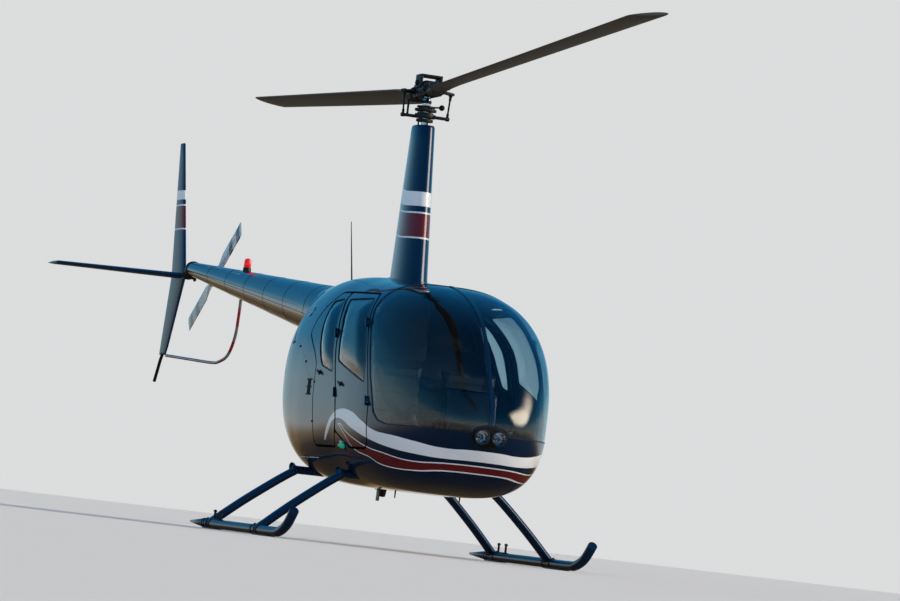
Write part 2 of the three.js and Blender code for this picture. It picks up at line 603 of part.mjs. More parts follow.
// Tail: gearbox, fins, stabiliser, guard. Columns of a fin row: z, leading y, trailing y, thickness
const FIN_SPLIT_Z = 1972;
const UPPER_FIN = [
  [FIN_SPLIT_Z + SEAT_GAP, 5960, 6400, 42],
  [2500, 6210, 6505, 32],
  [3068, 6475, 6618, 18],
];
const LOWER_FIN = [
  [1330, 6300, 6500, 20],
  [1400, 6248, 6492, 24],
  [FIN_SPLIT_Z, 5960, 6400, 42],
];
const wingSection = (angle) => [Math.cos(angle), Math.sin(angle) * (1 - 0.35 * Math.cos(angle))];
function fin(rows) {
  return toSolid(loft(rows, ([z, lead, trail, thick], angle, target) => {
    const [along, across] = wingSection(angle);
    return target.set(0.5 * thick * across, (lead + trail) / 2 + 0.5 * (trail - lead) * along, z);
  }, 20));
}
addPart('upper_fin', toGeometry(fin(UPPER_FIN)), navy());
const GUARD_RADIUS = 12;
const GUARD = [[0, 4195, 1800], [0, 4200, 1640], [0, 4235, 1470], [0, 4380, 1330], [0, 4620, 1276],
  [0, 4852, 1269], [0, 5500, 1294], [0, 6270, 1325]];
const TAIL_SKID = [[0, 6385, 1345], [0, 6440, 1290], [0, 6500, 1200], [0, 6558, 1115]];
const SKID_ROD_RADIUS = 13;
const lowerFin = fin(LOWER_FIN).add(toSolid(tube(TAIL_SKID, SKID_ROD_RADIUS, 6, 8)));
addPart('lower_fin', toGeometry(lowerFin), navy());
const finFat = fin(LOWER_FIN.map(([z, lead, trail, thick]) => [z, lead - 1, trail + 1, thick + 2]));
const guard = without(toSolid(tube(GUARD, GUARD_RADIUS, 26, 8)), boom(SEAT_GAP), finFat);
addPart('tail_guard', toGeometry(mainBody(guard)), steel());

const STABILISER_TIP_X = -1050;
// Columns: x, leading y, trailing y, thickness, z
const STABILISER = [
  [-22.45, 5975, 6385, 44, 1972],
  [-1020, 5985, 6340, 30, 1950],
  [STABILISER_TIP_X, 6010, 6330, 16, 1949],
];
const stabiliser = toSolid(loft(STABILISER, ([x, lead, trail, thick, z], angle, target) => {
  const [along, across] = wingSection(angle);
  return target.set(x, (lead + trail) / 2 + 0.5 * (trail - lead) * along, z + 0.5 * thick * across);
}, 20));
addPart('stabiliser', toGeometry(stabiliser), navy());

const gearbox = joined(
  toSolid(rod([0, BOOM_END_Y - 10, 2012], [0, 5840, 1990], 55, 50, 16)),
  toSolid(box(-48, 48, 5830, 5945, 1930, 2040)),
  toSolid(rod([0, TAIL_ROTOR_Y, TAIL_ROTOR_Z], [TAIL_ROTOR_X - 60, TAIL_ROTOR_Y, TAIL_ROTOR_Z], 30)),
  toSolid(box(-12, 12, 5940, 5985, 1950, 1990)));
const finRoots = joined(fin([[1900, 5958, 6402, 44], [2050, 5958, 6402, 44]]));
addPart('tail_gearbox', toGeometry(mainBody(without(gearbox, finRoots, boom(SEAT_GAP)))), black());

// Main rotor: a group turned to the blade line, blades along +x and -x of the group
const mainRotor = new THREE.Group();
mainRotor.rotation.z = THREE.MathUtils.degToRad(MAIN_TURN);
airframe.add(mainRotor);
const SHAFT_BASE_Z = 2905 + SEAT_GAP;
const SHAFT_TOP_Z = 3215;
const SHAFT_RADIUS = 21;
addPart('rotor_shaft', toGeometry(joined(
  toSolid(rod([0, 0, SHAFT_BASE_Z], [0, 0, SHAFT_TOP_Z], SHAFT_RADIUS)),
  toSolid(rod([0, 0, 3005], [0, 0, 3022], 75, 75, 24)),
  toSolid(rod([0, 0, 3030], [0, 0, 3042], 62, 62, 24)))), steel(), mainRotor);
const hubHole = toSolid(rod([0, 0, 3000], [0, 0, SHAFT_TOP_Z + SEAT_GAP], SHAFT_RADIUS + SEAT_GAP));
const hub = joined(
  toSolid(box(-175, 175, -58, 58, BLADE_PLANE_Z - 28, BLADE_PLANE_Z + 60)),
  toSolid(box(-70, 70, -78, 78, BLADE_PLANE_Z + 20, SHAFT_TOP_Z + 40)),
  toSolid(rod([0, -95, 3195], [0, 95, 3195], 15)),
  toSolid(rod([-145, -78, BLADE_PLANE_Z + 14], [-145, 78, BLADE_PLANE_Z + 14], 18)),
  toSolid(rod([145, -78, BLADE_PLANE_Z + 14], [145, 78, BLADE_PLANE_Z + 14], 18)));
addPart('rotor_hub', toGeometry(hub.subtract(hubHole)), black(), mainRotor);

// Columns of a blade row: radius, chord, thickness, pitch in degrees
const BLADE_ROWS = [
  [176, 96, 80, 15],
  [330, 100, 76, 15],
  [430, 150, 60, 15],
  [640, MAIN_CHORD, 34, 15],
  [2800, MAIN_CHORD, 31, 13],
  [MAIN_RADIUS - 25, MAIN_CHORD, 28, 10],
  [MAIN_RADIUS, MAIN_CHORD * 0.8, 14, 10],
];
function bladeSolid(rows, coning, height) {
  const lift = Math.tan(THREE.MathUtils.degToRad(coning));
  return toSolid(loft(rows, ([radius, chord, thick, pitch], angle, target) => {
    const [along, across] = wingSection(angle);
    const turn = THREE.MathUtils.degToRad(pitch);
    const edge = chord * (0.5 * along + 0.2);
    const rise = 0.5 * thick * across;
    return target.set(radius, -edge * Math.cos(turn) - rise * Math.sin(turn),
      height + radius * lift + rise * Math.cos(turn) - edge * Math.sin(turn));
  }, 20));
}
const PITCH_HORN_Y = 145;
const SWASH_TOP_Z = 2980;
for (const [place, turn, tilt] of [['front', 0, -TEETER], ['rear', Math.PI, TEETER]]) {
  const blade = bladeSolid(BLADE_ROWS, CONING + tilt, BLADE_PLANE_Z);
  const horn = toSolid(box(185, 240, 0, PITCH_HORN_Y + 14, BLADE_PLANE_Z - 8, BLADE_PLANE_Z + 14));
  const link = toSolid(rod([40, PITCH_HORN_Y, 2960], [212, PITCH_HORN_Y, BLADE_PLANE_Z + 2], 7, 7, 10));
  const geometry = toGeometry(joined(blade, horn));
  addPart(`main_blade_${place}`, geometry.rotateZ(turn), black(), mainRotor);
  const linkGeometry = toGeometry(link.intersect(toSolid(
    box(0, 300, 0, 300, SWASH_TOP_Z + SEAT_GAP, BLADE_PLANE_Z - 8 - SEAT_GAP))));
  addPart(`pitch_link_${place}`, linkGeometry.rotateZ(turn), steel(), mainRotor);
}
const swash = joined(
  toSolid(rod([0, 0, 2960], [0, 0, 2986], 72, 72, 24)),
  toSolid(box(25, 70, 0, PITCH_HORN_Y + 16, 2958, SWASH_TOP_Z)),
  toSolid(box(-70, -25, -PITCH_HORN_Y - 16, 0, 2958, SWASH_TOP_Z)));
addPart('swashplate', toGeometry(swash.subtract(toSolid(
  rod([0, 0, 2900], [0, 0, 3100], SHAFT_RADIUS + SEAT_GAP)))), grey(), mainRotor);

// Tail rotor: a group turned about its axis, blades along +z and -z of the group
const tailRotor = new THREE.Group();
tailRotor.position.set(0, TAIL_ROTOR_Y, TAIL_ROTOR_Z);
tailRotor.rotation.x = THREE.MathUtils.degToRad(90 - TAIL_TURN);
airframe.add(tailRotor);
addPart('tail_rotor_hub', toGeometry(joined(
  toSolid(rod([TAIL_ROTOR_X - 60 + SEAT_GAP, 0, 0], [TAIL_ROTOR_X + 30, 0, 0], 18)),
  toSolid(box(TAIL_ROTOR_X - 22, TAIL_ROTOR_X + 22, -26, 26, -90, 90)))), steel(), tailRotor);
// Columns: radius, chord, thickness
const TAIL_BLADE_ROWS = [
  [90 + SEAT_GAP, 60, 36],
  [160, 80, 26],
  [230, TAIL_CHORD, 17],
  [TAIL_RADIUS, TAIL_CHORD, 13],
];
const tailBlade = loft(TAIL_BLADE_ROWS, ([radius, chord, thick], angle, target) => {
  const [along, across] = wingSection(angle);
  return target.set(TAIL_ROTOR_X + 0.5 * thick * across, chord * (0.5 * along + 0.1), radius);
}, 16);
for (const [name, turn] of [['tail_blade_up', 0], ['tail_blade_down', Math.PI]]) {
  const geometry = toGeometry(toSolid(tailBlade));
  addPart(name, geometry.rotateX(turn), black(), tailRotor);
}

// The whole footprint is centred on the origin
airframe.updateMatrixWorld(true);
const footprint = new THREE.Box3().setFromObject(airframe, true);
const helicopter = new THREE.Group();
airframe.position.set(0, -(footprint.min.y + footprint.max.y) / 2, 0);
helicopter.add(airframe);

export default helicopter;
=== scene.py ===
import math

import bpy
from mathutils import Matrix, Vector


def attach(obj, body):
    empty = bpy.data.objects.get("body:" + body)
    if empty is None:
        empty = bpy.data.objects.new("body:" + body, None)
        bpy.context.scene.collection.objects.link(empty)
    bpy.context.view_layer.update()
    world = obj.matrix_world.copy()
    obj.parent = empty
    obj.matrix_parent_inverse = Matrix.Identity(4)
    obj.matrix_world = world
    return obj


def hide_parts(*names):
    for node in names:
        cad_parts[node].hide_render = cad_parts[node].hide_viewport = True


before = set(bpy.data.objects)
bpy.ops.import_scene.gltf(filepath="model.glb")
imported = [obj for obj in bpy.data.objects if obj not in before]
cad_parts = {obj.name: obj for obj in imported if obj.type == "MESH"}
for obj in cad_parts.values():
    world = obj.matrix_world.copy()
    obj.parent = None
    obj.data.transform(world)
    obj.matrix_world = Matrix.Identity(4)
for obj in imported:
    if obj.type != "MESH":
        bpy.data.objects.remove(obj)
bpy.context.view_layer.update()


# The picture: a long lens far off, low down and ahead to starboard, held at a slant. The floor is a wide
# pale sheet, and the lens sees a pale backdrop. Gloss sees plain surroundings instead: dark below, pale at
# the level of the eye and blue above, with one warm soft light low on the port side.
MAST_Y = -0.79503


def spot(x, y, z):
    """A place given from the mast's foot, as a point of the frame."""
    return Vector((x, y + MAST_Y, z))


LENS_TURN = math.radians(-17.74)
LENS_RISE = math.radians(-2.84)
LENS_ROLL = 0.1167
LENS_DISTANCE = 32.6127
LENS_TARGET = spot(0.3328, 0.0, 1.7433)
back = Vector((math.sin(LENS_TURN) * math.cos(LENS_RISE), -math.cos(LENS_TURN) * math.cos(LENS_RISE),
               math.sin(LENS_RISE)))
level = (-back).cross(Vector((0, 0, 1))).normalized()
upright = level.cross(-back)
right = math.cos(LENS_ROLL) * level + math.sin(LENS_ROLL) * upright
up = -math.sin(LENS_ROLL) * level + math.cos(LENS_ROLL) * upright
turned = Matrix((right, up, back)).transposed().to_4x4()
lens = bpy.data.cameras.new("lens")
lens.sensor_width = 36.0
lens.lens = 190.245
lens.clip_end = 400.0
camera = bpy.data.objects.new("camera", lens)
bpy.context.scene.collection.objects.link(camera)
camera.matrix_world = Matrix.Translation(LENS_TARGET + LENS_DISTANCE * back) @ turned
bpy.context.scene.camera = camera


def plain_material(name, color, roughness):
    """A shader with one colour, and its node that later finishes are joined to."""
    material = bpy.data.materials.new(name)
    material.use_nodes = True
    shader = material.node_tree.nodes["Principled BSDF"]
    shader.inputs["Base Color"].default_value = (*color, 1.0)
    shader.inputs["Roughness"].default_value = roughness
    return material, shader


def added(add, **settings):
    """The mesh that one of Blender's own operators adds, with nothing else selected."""
    bpy.ops.object.select_all(action="DESELECT")
    add(**settings)
    return bpy.context.object


FLOOR_HALF = 150.0
floor = added(bpy.ops.mesh.primitive_plane_add, size=2 * FLOOR_HALF)
floor.name = "floor"
floor_paper, shader = plain_material("floor_paper", (0.78, 0.73, 0.66), 0.8)
floor.data.materials.append(floor_paper)
floor.visible_glossy = False

# Columns: height of the direction, from -1 straight down to 1 overhead, and the colour seen there
SURROUNDINGS = [
    (-1.00, (0.012, 0.010, 0.008)),
    (-0.24, (0.050, 0.036, 0.022)),
    (-0.15, (0.070, 0.048, 0.026)),
    (-0.09, (0.300, 0.200, 0.090)),
    (-0.05, (0.540, 0.560, 0.540)),
    (0.03, (0.380, 0.550, 0.610)),
    (0.14, (0.065, 0.310, 0.520)),
    (0.38, (0.010, 0.150, 0.360)),
    (1.00, (0.006, 0.070, 0.200)),
]
BACKDROP = (0.715, 0.72, 0.725)
GLOW_FROM = Vector((1.0, -0.42, 0.42)).normalized()
GLOW_COLOR = (9.0, 7.6, 6.0)
GLOW_EDGE, GLOW_SHARPNESS = 0.90, 3.0


def add_node(tree, kind, **inputs):
    """A node with some of its inputs set; an input may be a value or another node's output."""
    node = tree.nodes.new("ShaderNode" + kind)
    for name, value in inputs.items():
        socket = node.inputs[int(name[1:]) if name[1:].isdigit() else name.replace("_", " ")]
        if isinstance(value, bpy.types.NodeSocket):
            tree.links.new(value, socket)
        else:
            socket.default_value = value
    return node


def math_node(tree, operation, first, second=0.0, third=0.0):
    """The result of one sum on values or outputs."""
    node = add_node(tree, "Math", i0=first, i1=second, i2=third)
    node.operation = operation
    return node.outputs[0]


def mixed_color(tree, share, first, second):
    """One colour where the share is 0 and the other where it is 1."""
    node = tree.nodes.new("ShaderNodeMix")
    node.data_type = "RGBA"
    for number, value in ((0, share), (6, first), (7, second)):
        socket = node.inputs[number]
        if isinstance(value, bpy.types.NodeSocket):
            tree.links.new(value, socket)
        else:
            socket.default_value = value if isinstance(value, float) else (*value, 1.0)
    return node.outputs[2]


world = bpy.data.worlds.new("studio")
world.use_nodes = True
tree = world.node_tree
direction = tree.nodes.new("ShaderNodeTexCoord").outputs["Generated"]
upwards = add_node(tree, "SeparateXYZ", Vector=direction).outputs[2]
ramp = add_node(tree, "ValToRGB", i0=add_node(tree, "MapRange", Value=upwards, From_Min=-1.0).outputs[0])
stops = ramp.color_ramp.elements
for number, (height, color) in enumerate(SURROUNDINGS):
    stop = stops[number] if number < 2 else stops.new((height + 1) / 2)
    stop.position = (height + 1) / 2
    stop.color = (*color, 1.0)
toward = add_node(tree, "VectorMath", i0=direction, i1=GLOW_FROM)
toward.operation = "DOT_PRODUCT"
glow = add_node(tree, "MapRange", Value=toward.outputs["Value"], From_Min=GLOW_EDGE)
glow.interpolation_type = "SMOOTHERSTEP"
glow_share = math_node(tree, "POWER", glow.outputs[0], GLOW_SHARPNESS)
seen_by_gloss = mixed_color(tree, glow_share, ramp.outputs[0], GLOW_COLOR)
seen_by_lens = tree.nodes.new("ShaderNodeLightPath").outputs["Is Camera Ray"]
tree.links.new(mixed_color(tree, seen_by_lens, seen_by_gloss, BACKDROP),
               tree.nodes["Background"].inputs["Color"])
bpy.context.scene.world = world
bpy.context.scene.view_settings.view_transform = "Standard"

# Columns: name, direction it comes from, softness in degrees, strength, colour
LAMPS = [
    ("light_port", GLOW_FROM, 14.0, 1.5, (1.0, 0.86, 0.68)),
    ("light_above", (-0.35, -0.45, 1.0), 60.0, 1.1, (1.0, 0.98, 0.95)),
    ("light_behind", (0.5, 1.0, 0.9), 40.0, 0.4, (1.0, 0.97, 0.92)),
]
for name, source, softness, strength, color in LAMPS:
    lamp = bpy.data.lights.new(name, "SUN")
    lamp.angle = math.radians(softness)
    lamp.energy = strength
    lamp.color = color
    holder = bpy.data.objects.new(name, lamp)
    bpy.context.scene.collection.objects.link(holder)
    holder.rotation_euler = Vector(source).to_track_quat("Z", "Y").to_euler()
    holder.visible_glossy = False
    holder.visible_transmission = False


# The body shell: thin painted panels over a frame, laid on one smooth skin from the nose to the boom.
# Each section of the skin is a rounded oval, fuller above or below by its two powers.
# Columns: y, half width, low z, high z, z of the widest line, power above, power below
BODY = [
    (-2.210, 0.020, 0.860, 0.900, 0.880, 2.0, 2.0),
    (-2.185, 0.165, 0.745, 0.985, 0.875, 2.1, 2.1),
    (-2.115, 0.300, 0.640, 1.090, 0.890, 2.3, 2.2),
    (-1.990, 0.415, 0.545, 1.290, 0.920, 2.5, 3.0),
    (-1.785, 0.520, 0.455, 1.520, 0.960, 2.6, 3.2),
    (-1.480, 0.600, 0.405, 1.680, 1.000, 2.8, 3.4),
    (-1.130, 0.635, 0.395, 1.770, 1.030, 2.9, 3.4),
    (-0.720, 0.645, 0.395, 1.800, 1.050, 2.8, 3.2),
    (-0.260, 0.648, 0.400, 1.825, 1.070, 2.6, 3.5),
    (0.155, 0.642, 0.410, 1.852, 1.090, 2.4, 3.2),
    (0.565, 0.610, 0.430, 1.860, 1.100, 2.2, 2.6),
    (0.925, 0.500, 0.520, 1.850, 1.180, 2.0, 2.4),
    (1.230, 0.350, 0.900, 1.835, 1.400, 2.0, 2.4),
    (1.435, 0.240, 1.390, 1.820, 1.600, 2.0, 2.0),
]
STEPS_PER_ROW = 12
POINTS_AROUND = 176


def row_at(rows, along, curved=True):
    """The values at a place along a table, straight or smooth from row to row."""
    last = len(rows) - 1
    row = min(int(along), last - 1)
    part = along - row
    if not curved:
        return [a + part * (b - a) for a, b in zip(rows[row], rows[row + 1])]
    before, after = rows[max(row - 1, 0)], rows[min(row + 2, last)]
    values = []
    for first, second, back_one, next_one in zip(rows[row], rows[row + 1], before, after):
        slope, next_slope = (second - back_one) / 2, (next_one - first) / 2
        bend = 3 * (second - first) - 2 * slope - next_slope
        curl = 2 * (first - second) + slope + next_slope
        values.append(first + part * (slope + part * (bend + part * curl)))
    return values


def rows_along(rows, steps, curved=True):
    """A table's rows with more laid between them, this many steps from each to the next."""
    return [row_at(rows, k / steps, curved) for k in range((len(rows) - 1) * steps + 1)]


def skin_point(section, turn):
    """A point of a section, turned from port round over the top."""
    y, half, low, high, wide, above, below = section
    across, rise = math.cos(turn), math.sin(turn)
    power = 2 / (above if rise > 0 else below)
    height = high - wide if rise > 0 else wide - low
    x = half * math.copysign(abs(across) ** power, across)
    return spot(x, y, wide + height * math.copysign(abs(rise) ** power, rise))


def select_only(piece):
    """Leaves one object selected, and active."""
    bpy.ops.object.select_all(action="DESELECT")
    piece.select_set(True)
    bpy.context.view_layer.objects.active = piece


def in_edit(piece, *steps):
    """Runs edit-mode steps on all of a piece's mesh."""
    select_only(piece)
    bpy.ops.object.mode_set(mode="EDIT")
    bpy.ops.mesh.select_all(action="SELECT")
    for step in steps:
        step()
    bpy.ops.object.mode_set(mode="OBJECT")


def merge_close():
    """Joins vertices that lie on one place."""
    bpy.ops.mesh.remove_doubles(threshold=0.00005)


def face_outwards():
    """Turns all faces outwards."""
    bpy.ops.mesh.normals_make_consistent(inside=False)


def finish_modifier(piece, kind, **settings):
    """Adds one modifier and applies it."""
    select_only(piece)
    modifier = piece.modifiers.new(kind.lower(), kind)
    for name, value in settings.items():
        setattr(modifier, name, value)
    bpy.ops.object.modifier_apply(modifier=modifier.name)


def laid_skin(steps, around, place, middle):
    """A closed skin from a grid: place(step, turn) lays its points, and middle(step) closes its ends."""
    piece = added(bpy.ops.mesh.primitive_grid_add, x_subdivisions=around, y_subdivisions=steps + 2, size=2)
    for vertex in piece.data.vertices:
        step = round((vertex.co.y + 1) / 2 * (steps + 2)) - 1
        if 0 <= step <= steps:
            vertex.co = place(step, math.pi * (vertex.co.x + 1))
        else:
            vertex.co = middle(min(max(step, 0), steps))
    in_edit(piece, merge_close, face_outwards)
    return piece


body_sections = rows_along(BODY, STEPS_PER_ROW)
skin = laid_skin(len(body_sections) - 1, POINTS_AROUND,
                 lambda step, turn: skin_point(body_sections[step], turn),
                 lambda step: spot(0, body_sections[step][0], body_sections[step][4]))


def copy_of(source, name):
    """A copy of an object with its own mesh."""
    twin = source.copy()
    twin.data = source.data.copy()
    twin.name = name
    bpy.context.scene.collection.objects.link(twin)
    return twin


def sunk_skin(name, depth):
    """A copy of the body's skin, this deep under it."""
    sheet = copy_of(skin, name)
    places = [vertex.co - depth * vertex.normal for vertex in sheet.data.vertices]
    for vertex, place in zip(sheet.data.vertices, places):
        vertex.co = place
    return sheet


def shell(name, depth, thickness):
    """A closed wall under the skin, from one depth to a deeper one."""
    wall = sunk_skin(name, depth)
    finish_modifier(wall, "SOLIDIFY", thickness=thickness, offset=-1.0, use_even_offset=True)
    return wall


def side_block(outline, low_x=-1.0, high_x=1.0):
    """A solid with the given outline of (y, z) as seen from the side."""
    block = added(bpy.ops.mesh.primitive_circle_add, vertices=len(outline), fill_type="NGON")
    for vertex, (y, z) in zip(block.data.vertices, outline):
        vertex.co = spot(low_x, y, z)
    in_edit(block, lambda: bpy.ops.mesh.extrude_region_move(
        TRANSFORM_OT_translate={"value": (high_x - low_x, 0, 0)}),
        lambda: bpy.ops.mesh.select_all(action="SELECT"), face_outwards)
    return block


def cut(piece, tool, how="DIFFERENCE", last_use=True):
    """Takes a tool's solid out of a piece, or keeps only what they share."""
    finish_modifier(piece, "BOOLEAN", operation=how, object=tool, solver="MANIFOLD")
    if last_use:
        bpy.data.objects.remove(tool)


def eased(outline, reach, pieces=6):
    """An outline whose corners are rounded, from this far before each to this far after it."""
    curve = []
    for i, (y, z) in enumerate(outline):
        corner = Vector((y, z))
        before = Vector(outline[i - 1]) - corner
        after = Vector(outline[(i + 1) % len(outline)]) - corner
        start = corner + before.normalized() * min(reach, before.length * 0.45)
        end = corner + after.normalized() * min(reach, after.length * 0.45)
        for k in range(pieces + 1):
            t = k / pieces
            curve.append(tuple((1 - t) ** 2 * start + 2 * t * (1 - t) * corner + t * t * end))
    return curve


def grown(outline, distance):
    """The outline moved outwards on all its sides, or inwards by a distance below zero."""
    area = sum(outline[i - 1][0] * p[1] - p[0] * outline[i - 1][1] for i, p in enumerate(outline))
    side = distance if area > 0 else -distance
    moved = []
    for i, point in enumerate(outline):
        corner = Vector(point)
        came = (corner - Vector(outline[i - 1])).normalized()
        goes = (Vector(outline[(i + 1) % len(outline)]) - corner).normalized()
        first, second = Vector((came.y, -came.x)), Vector((goes.y, -goes.x))
        middle = (first + second).normalized()
        moved.append(tuple(corner + middle * side / max(middle.dot(first), 0.35)))
    return moved


# The paint: dark blue under a clear coat on every panel, with a white stripe that runs from the nose
# up over the front doors, and below it a maroon one between two thin white lines.
# Outlines of (y, z) as seen from the side
STRIPE_START_Y, STRIPE_END_Y = -2.30, -0.50
STRIPE_LOW_Z, STRIPE_HIGH_Z = 0.40, 1.00
WHITE_TOP = [(-2.290, .702), (-2.151, .699), (-2.110, .693), (-1.963, .716), (-1.796, .739), (-1.559, .763),
             (-1.360, .823), (-1.155, .880), (-.962, .890), (-.819, .866), (-.675, .785), (-.586, .690),
             (-.550, .600)]
WHITE_FOOT = [(-2.290, .632), (-2.098, .630), (-2.060, .627), (-1.935, .637), (-1.710, .664),
              (-1.406, .720), (-1.172, .774), (-.946, .828), (-.826, .822), (-.664, .723), (-.571, .680),
              (-.550, .700)]
MAROON_TOP = [(-2.290, .612), (-2.054, .597), (-1.899, .586), (-1.615, .624), (-1.468, .645),
              (-1.263, .690), (-1.064, .746), (-.943, .790), (-.900, .780)]
MAROON_FOOT = [(-2.290, .566), (-2.005, .557), (-1.843, .536), (-1.560, .553), (-1.436, .594),
               (-1.234, .630), (-1.060, .720), (-.943, .785), (-.900, .800)]
LINE_WIDTH = 0.0065
NAVY = (0.003, 0.021, 0.060)
FLAKE = 0.45
STRIPE_WHITE = (0.74, 0.76, 0.80)
STRIPE_MAROON = (0.115, 0.007, 0.011)


def height_along(tree, along, points):
    """The height of a line drawn by its points, at each place along the body."""
    node = add_node(tree, "FloatCurve", Value=along)
    line = node.mapping.curves[0].points
    places = [((y - STRIPE_START_Y) / (STRIPE_END_Y - STRIPE_START_Y),
               (z - STRIPE_LOW_Z) / (STRIPE_HIGH_Z - STRIPE_LOW_Z)) for y, z in points]
    line[0].location, line[1].location = places[0], places[-1]
    for place in places[1:-1]:
        line.new(*place)
    node.mapping.update()
    return node.outputs[0]


def clear_coat(shader, roughness=0.03, weight=1.0):
    """Polished lacquer over the colour."""
    shader.inputs["Coat Weight"].default_value = weight
    shader.inputs["Coat Roughness"].default_value = roughness
    shader.inputs["Coat IOR"].default_value = 1.5
    shader.inputs["Specular IOR Level"].default_value = 0.2


def flaked(tree, shader, marks, flake=FLAKE):
    """Fine metal flakes in the blue, with none under the marks painted over it."""
    shader.inputs["Metallic"].default_value = flake
    if isinstance(marks, bpy.types.NodeSocket):
        tree.links.new(math_node(tree, "MULTIPLY_ADD", marks, -flake, flake), shader.inputs["Metallic"])


def object_place(tree):
    """The place on a piece, which does not change as the piece moves."""
    return tree.nodes.new("ShaderNodeTexCoord").outputs["Object"]


def bumped(tree, shader, height, strength, distance):
    """Light and shade of a surface with this height."""
    bump = add_node(tree, "Bump", Height=height, Strength=strength, Distance=distance)
    tree.links.new(bump.outputs[0], shader.inputs["Normal"])


def rippled(tree, shader, scale, strength, distance):
    """A slight unevenness of the surface."""
    noise = add_node(tree, "TexNoise", Vector=object_place(tree), Scale=scale, Detail=2.0)
    bumped(tree, shader, noise.outputs["Fac"], strength, distance)


body_paint, shader = plain_material("navy_paint_striped", NAVY, 0.32)
clear_coat(shader)
tree = body_paint.node_tree
rippled(tree, shader, 2.2, 0.10, 0.01)
place = add_node(tree, "SeparateXYZ", Vector=object_place(tree))
along = add_node(tree, "MapRange", Value=place.outputs[1], From_Min=STRIPE_START_Y + MAST_Y,
                 From_Max=STRIPE_END_Y + MAST_Y).outputs[0]
height = add_node(tree, "MapRange", Value=place.outputs[2], From_Min=STRIPE_LOW_Z,
                  From_Max=STRIPE_HIGH_Z).outputs[0]
forward = math_node(tree, "LESS_THAN", place.outputs[1], STRIPE_END_Y + MAST_Y - 0.01)


def between(foot, top, margin=0.0):
    """1 between two lines, each moved out by a margin, and 0 elsewhere."""
    over = math_node(tree, "GREATER_THAN", math_node(tree, "ADD", height, margin), foot)
    under = math_node(tree, "LESS_THAN", math_node(tree, "SUBTRACT", height, margin), top)
    both = math_node(tree, "MULTIPLY", over, under)
    return math_node(tree, "MULTIPLY", both, forward)


white_band = between(height_along(tree, along, WHITE_FOOT), height_along(tree, along, WHITE_TOP))
maroon_foot, maroon_top = height_along(tree, along, MAROON_FOOT), height_along(tree, along, MAROON_TOP)
lined_band = between(maroon_foot, maroon_top, LINE_WIDTH / (STRIPE_HIGH_Z - STRIPE_LOW_Z))
maroon_band = between(maroon_foot, maroon_top)
color = NAVY
for band, band_color in ((white_band, STRIPE_WHITE), (lined_band, STRIPE_WHITE),
                         (maroon_band, STRIPE_MAROON)):
    color = mixed_color(tree, band, color, band_color)
tree.links.new(color, shader.inputs["Base Color"])
flaked(tree, shader, math_node(tree, "MAXIMUM", white_band, lined_band))


# The hull, roof and cowls: laid-up and sheet panels, their joints left as hair-thin gaps. The rear doors'
# doorway and the front doors' share one opening on each side.
WALL = 0.034
WINDSHIELD = [(-2.5, .806), (-1.690, .806), (-1.590, .826), (-1.521, .880), (-1.493, .957), (-1.437, 1.087),
              (-1.379, 1.217), (-1.303, 1.350), (-1.199, 1.472), (-1.127, 1.557), (-1.082, 1.640),
              (-1.051, 1.717), (-1.000, 1.900), (-2.5, 1.900)]
DOOR_SPLIT = [(-.800, .640), (-.851, .830), (-.803, 1.009), (-.716, 1.205), (-.615, 1.415), (-.480, 1.558),
              (-.350, 1.640), (-.290, 1.700)]
SLANT = [(-1.130, .640), (-.834, .745)]
FRONT_EDGE = [(-.960, 1.680), (-1.030, 1.632), (-1.100, 1.557), (-1.174, 1.472), (-1.278, 1.350),
              (-1.354, 1.217), (-1.408, 1.087), (-1.455, .930), (-1.455, .680), (-1.415, .640)]
REAR_EDGE = [(-.375, .640), (-.345, .670), (-.336, .833), (-.299, .959), (-.290, 1.190), (-.199, 1.270),
             (.032, 1.400), (.025, 1.490), (-.006, 1.580), (-.085, 1.700)]
DOORWAY = [(y, z - 0.002 if z == .640 else z)
           for y, z in [DOOR_SPLIT[0], *REAR_EDGE, DOOR_SPLIT[-1], *FRONT_EDGE, *SLANT]]
REAR_CUT = [(.462, .200), (.462, .450), (.514, .600), (.678, 1.050), (.924, 1.400), (1.284, 1.500),
            (1.600, 1.600), (1.600, .200)]
HULL_SIDE = [(-2.5, .200), (.470, .200), (.470, .560), (-.341, .560), (-.341, .660), (-.500, .720),
             (-.900, .930), (-2.5, .930)]
ROOF_SIDE = [(-2.5, .930), (-.900, .930), (-.300, 1.600), (.062, 1.600), (.062, 2.000), (-2.5, 2.000)]
COWL_SIDE = [(-.341, .560), (-.341, 1.077), (-.283, 1.077), (-.116, 1.122), (-.009, 1.223), (.219, 1.327),
             (1.000, 1.402), (1.000, .560)]
DOOR_GAP = 0.009
SEAM = 0.0015
SMOOTH_ANGLE = math.radians(32)
# Columns: name, side, low x, high x
SIDES = [("left", 1, .1, 1.0), ("right", -1, -1.0, -.1)]
wall = shell("wall", 0, WALL)
doorway = side_block(eased(grown(DOORWAY, DOOR_GAP / 2), 0.03))
windshield_hole = side_block(WINDSHIELD)
rear_hole = side_block(REAR_CUT)


def finished(piece, name, slot, material, body="airframe"):
    """The last steps of every piece: smooth shading, its name, finish and body. The slot is not used."""
    select_only(piece)
    bpy.ops.object.transform_apply(location=True, rotation=True, scale=True)
    bpy.ops.object.shade_smooth_by_angle(angle=SMOOTH_ANGLE)
    piece.name = name
    piece.data.materials.clear()
    piece.data.materials.append(material)
    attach(piece, body)
    return piece


def oval_post(half_x, half_z, middle, front_y, back_y, corners=48):
    """An oval rod that runs along the helicopter."""
    post = added(bpy.ops.mesh.primitive_cylinder_add, vertices=corners, radius=1, depth=back_y - front_y)
    post.rotation_euler.x = math.pi / 2
    post.scale = (half_x, half_z, 1)
    post.location = spot(middle[0], (front_y + back_y) / 2, middle[1])
    bpy.ops.object.transform_apply(location=True, rotation=True, scale=True)
    return post


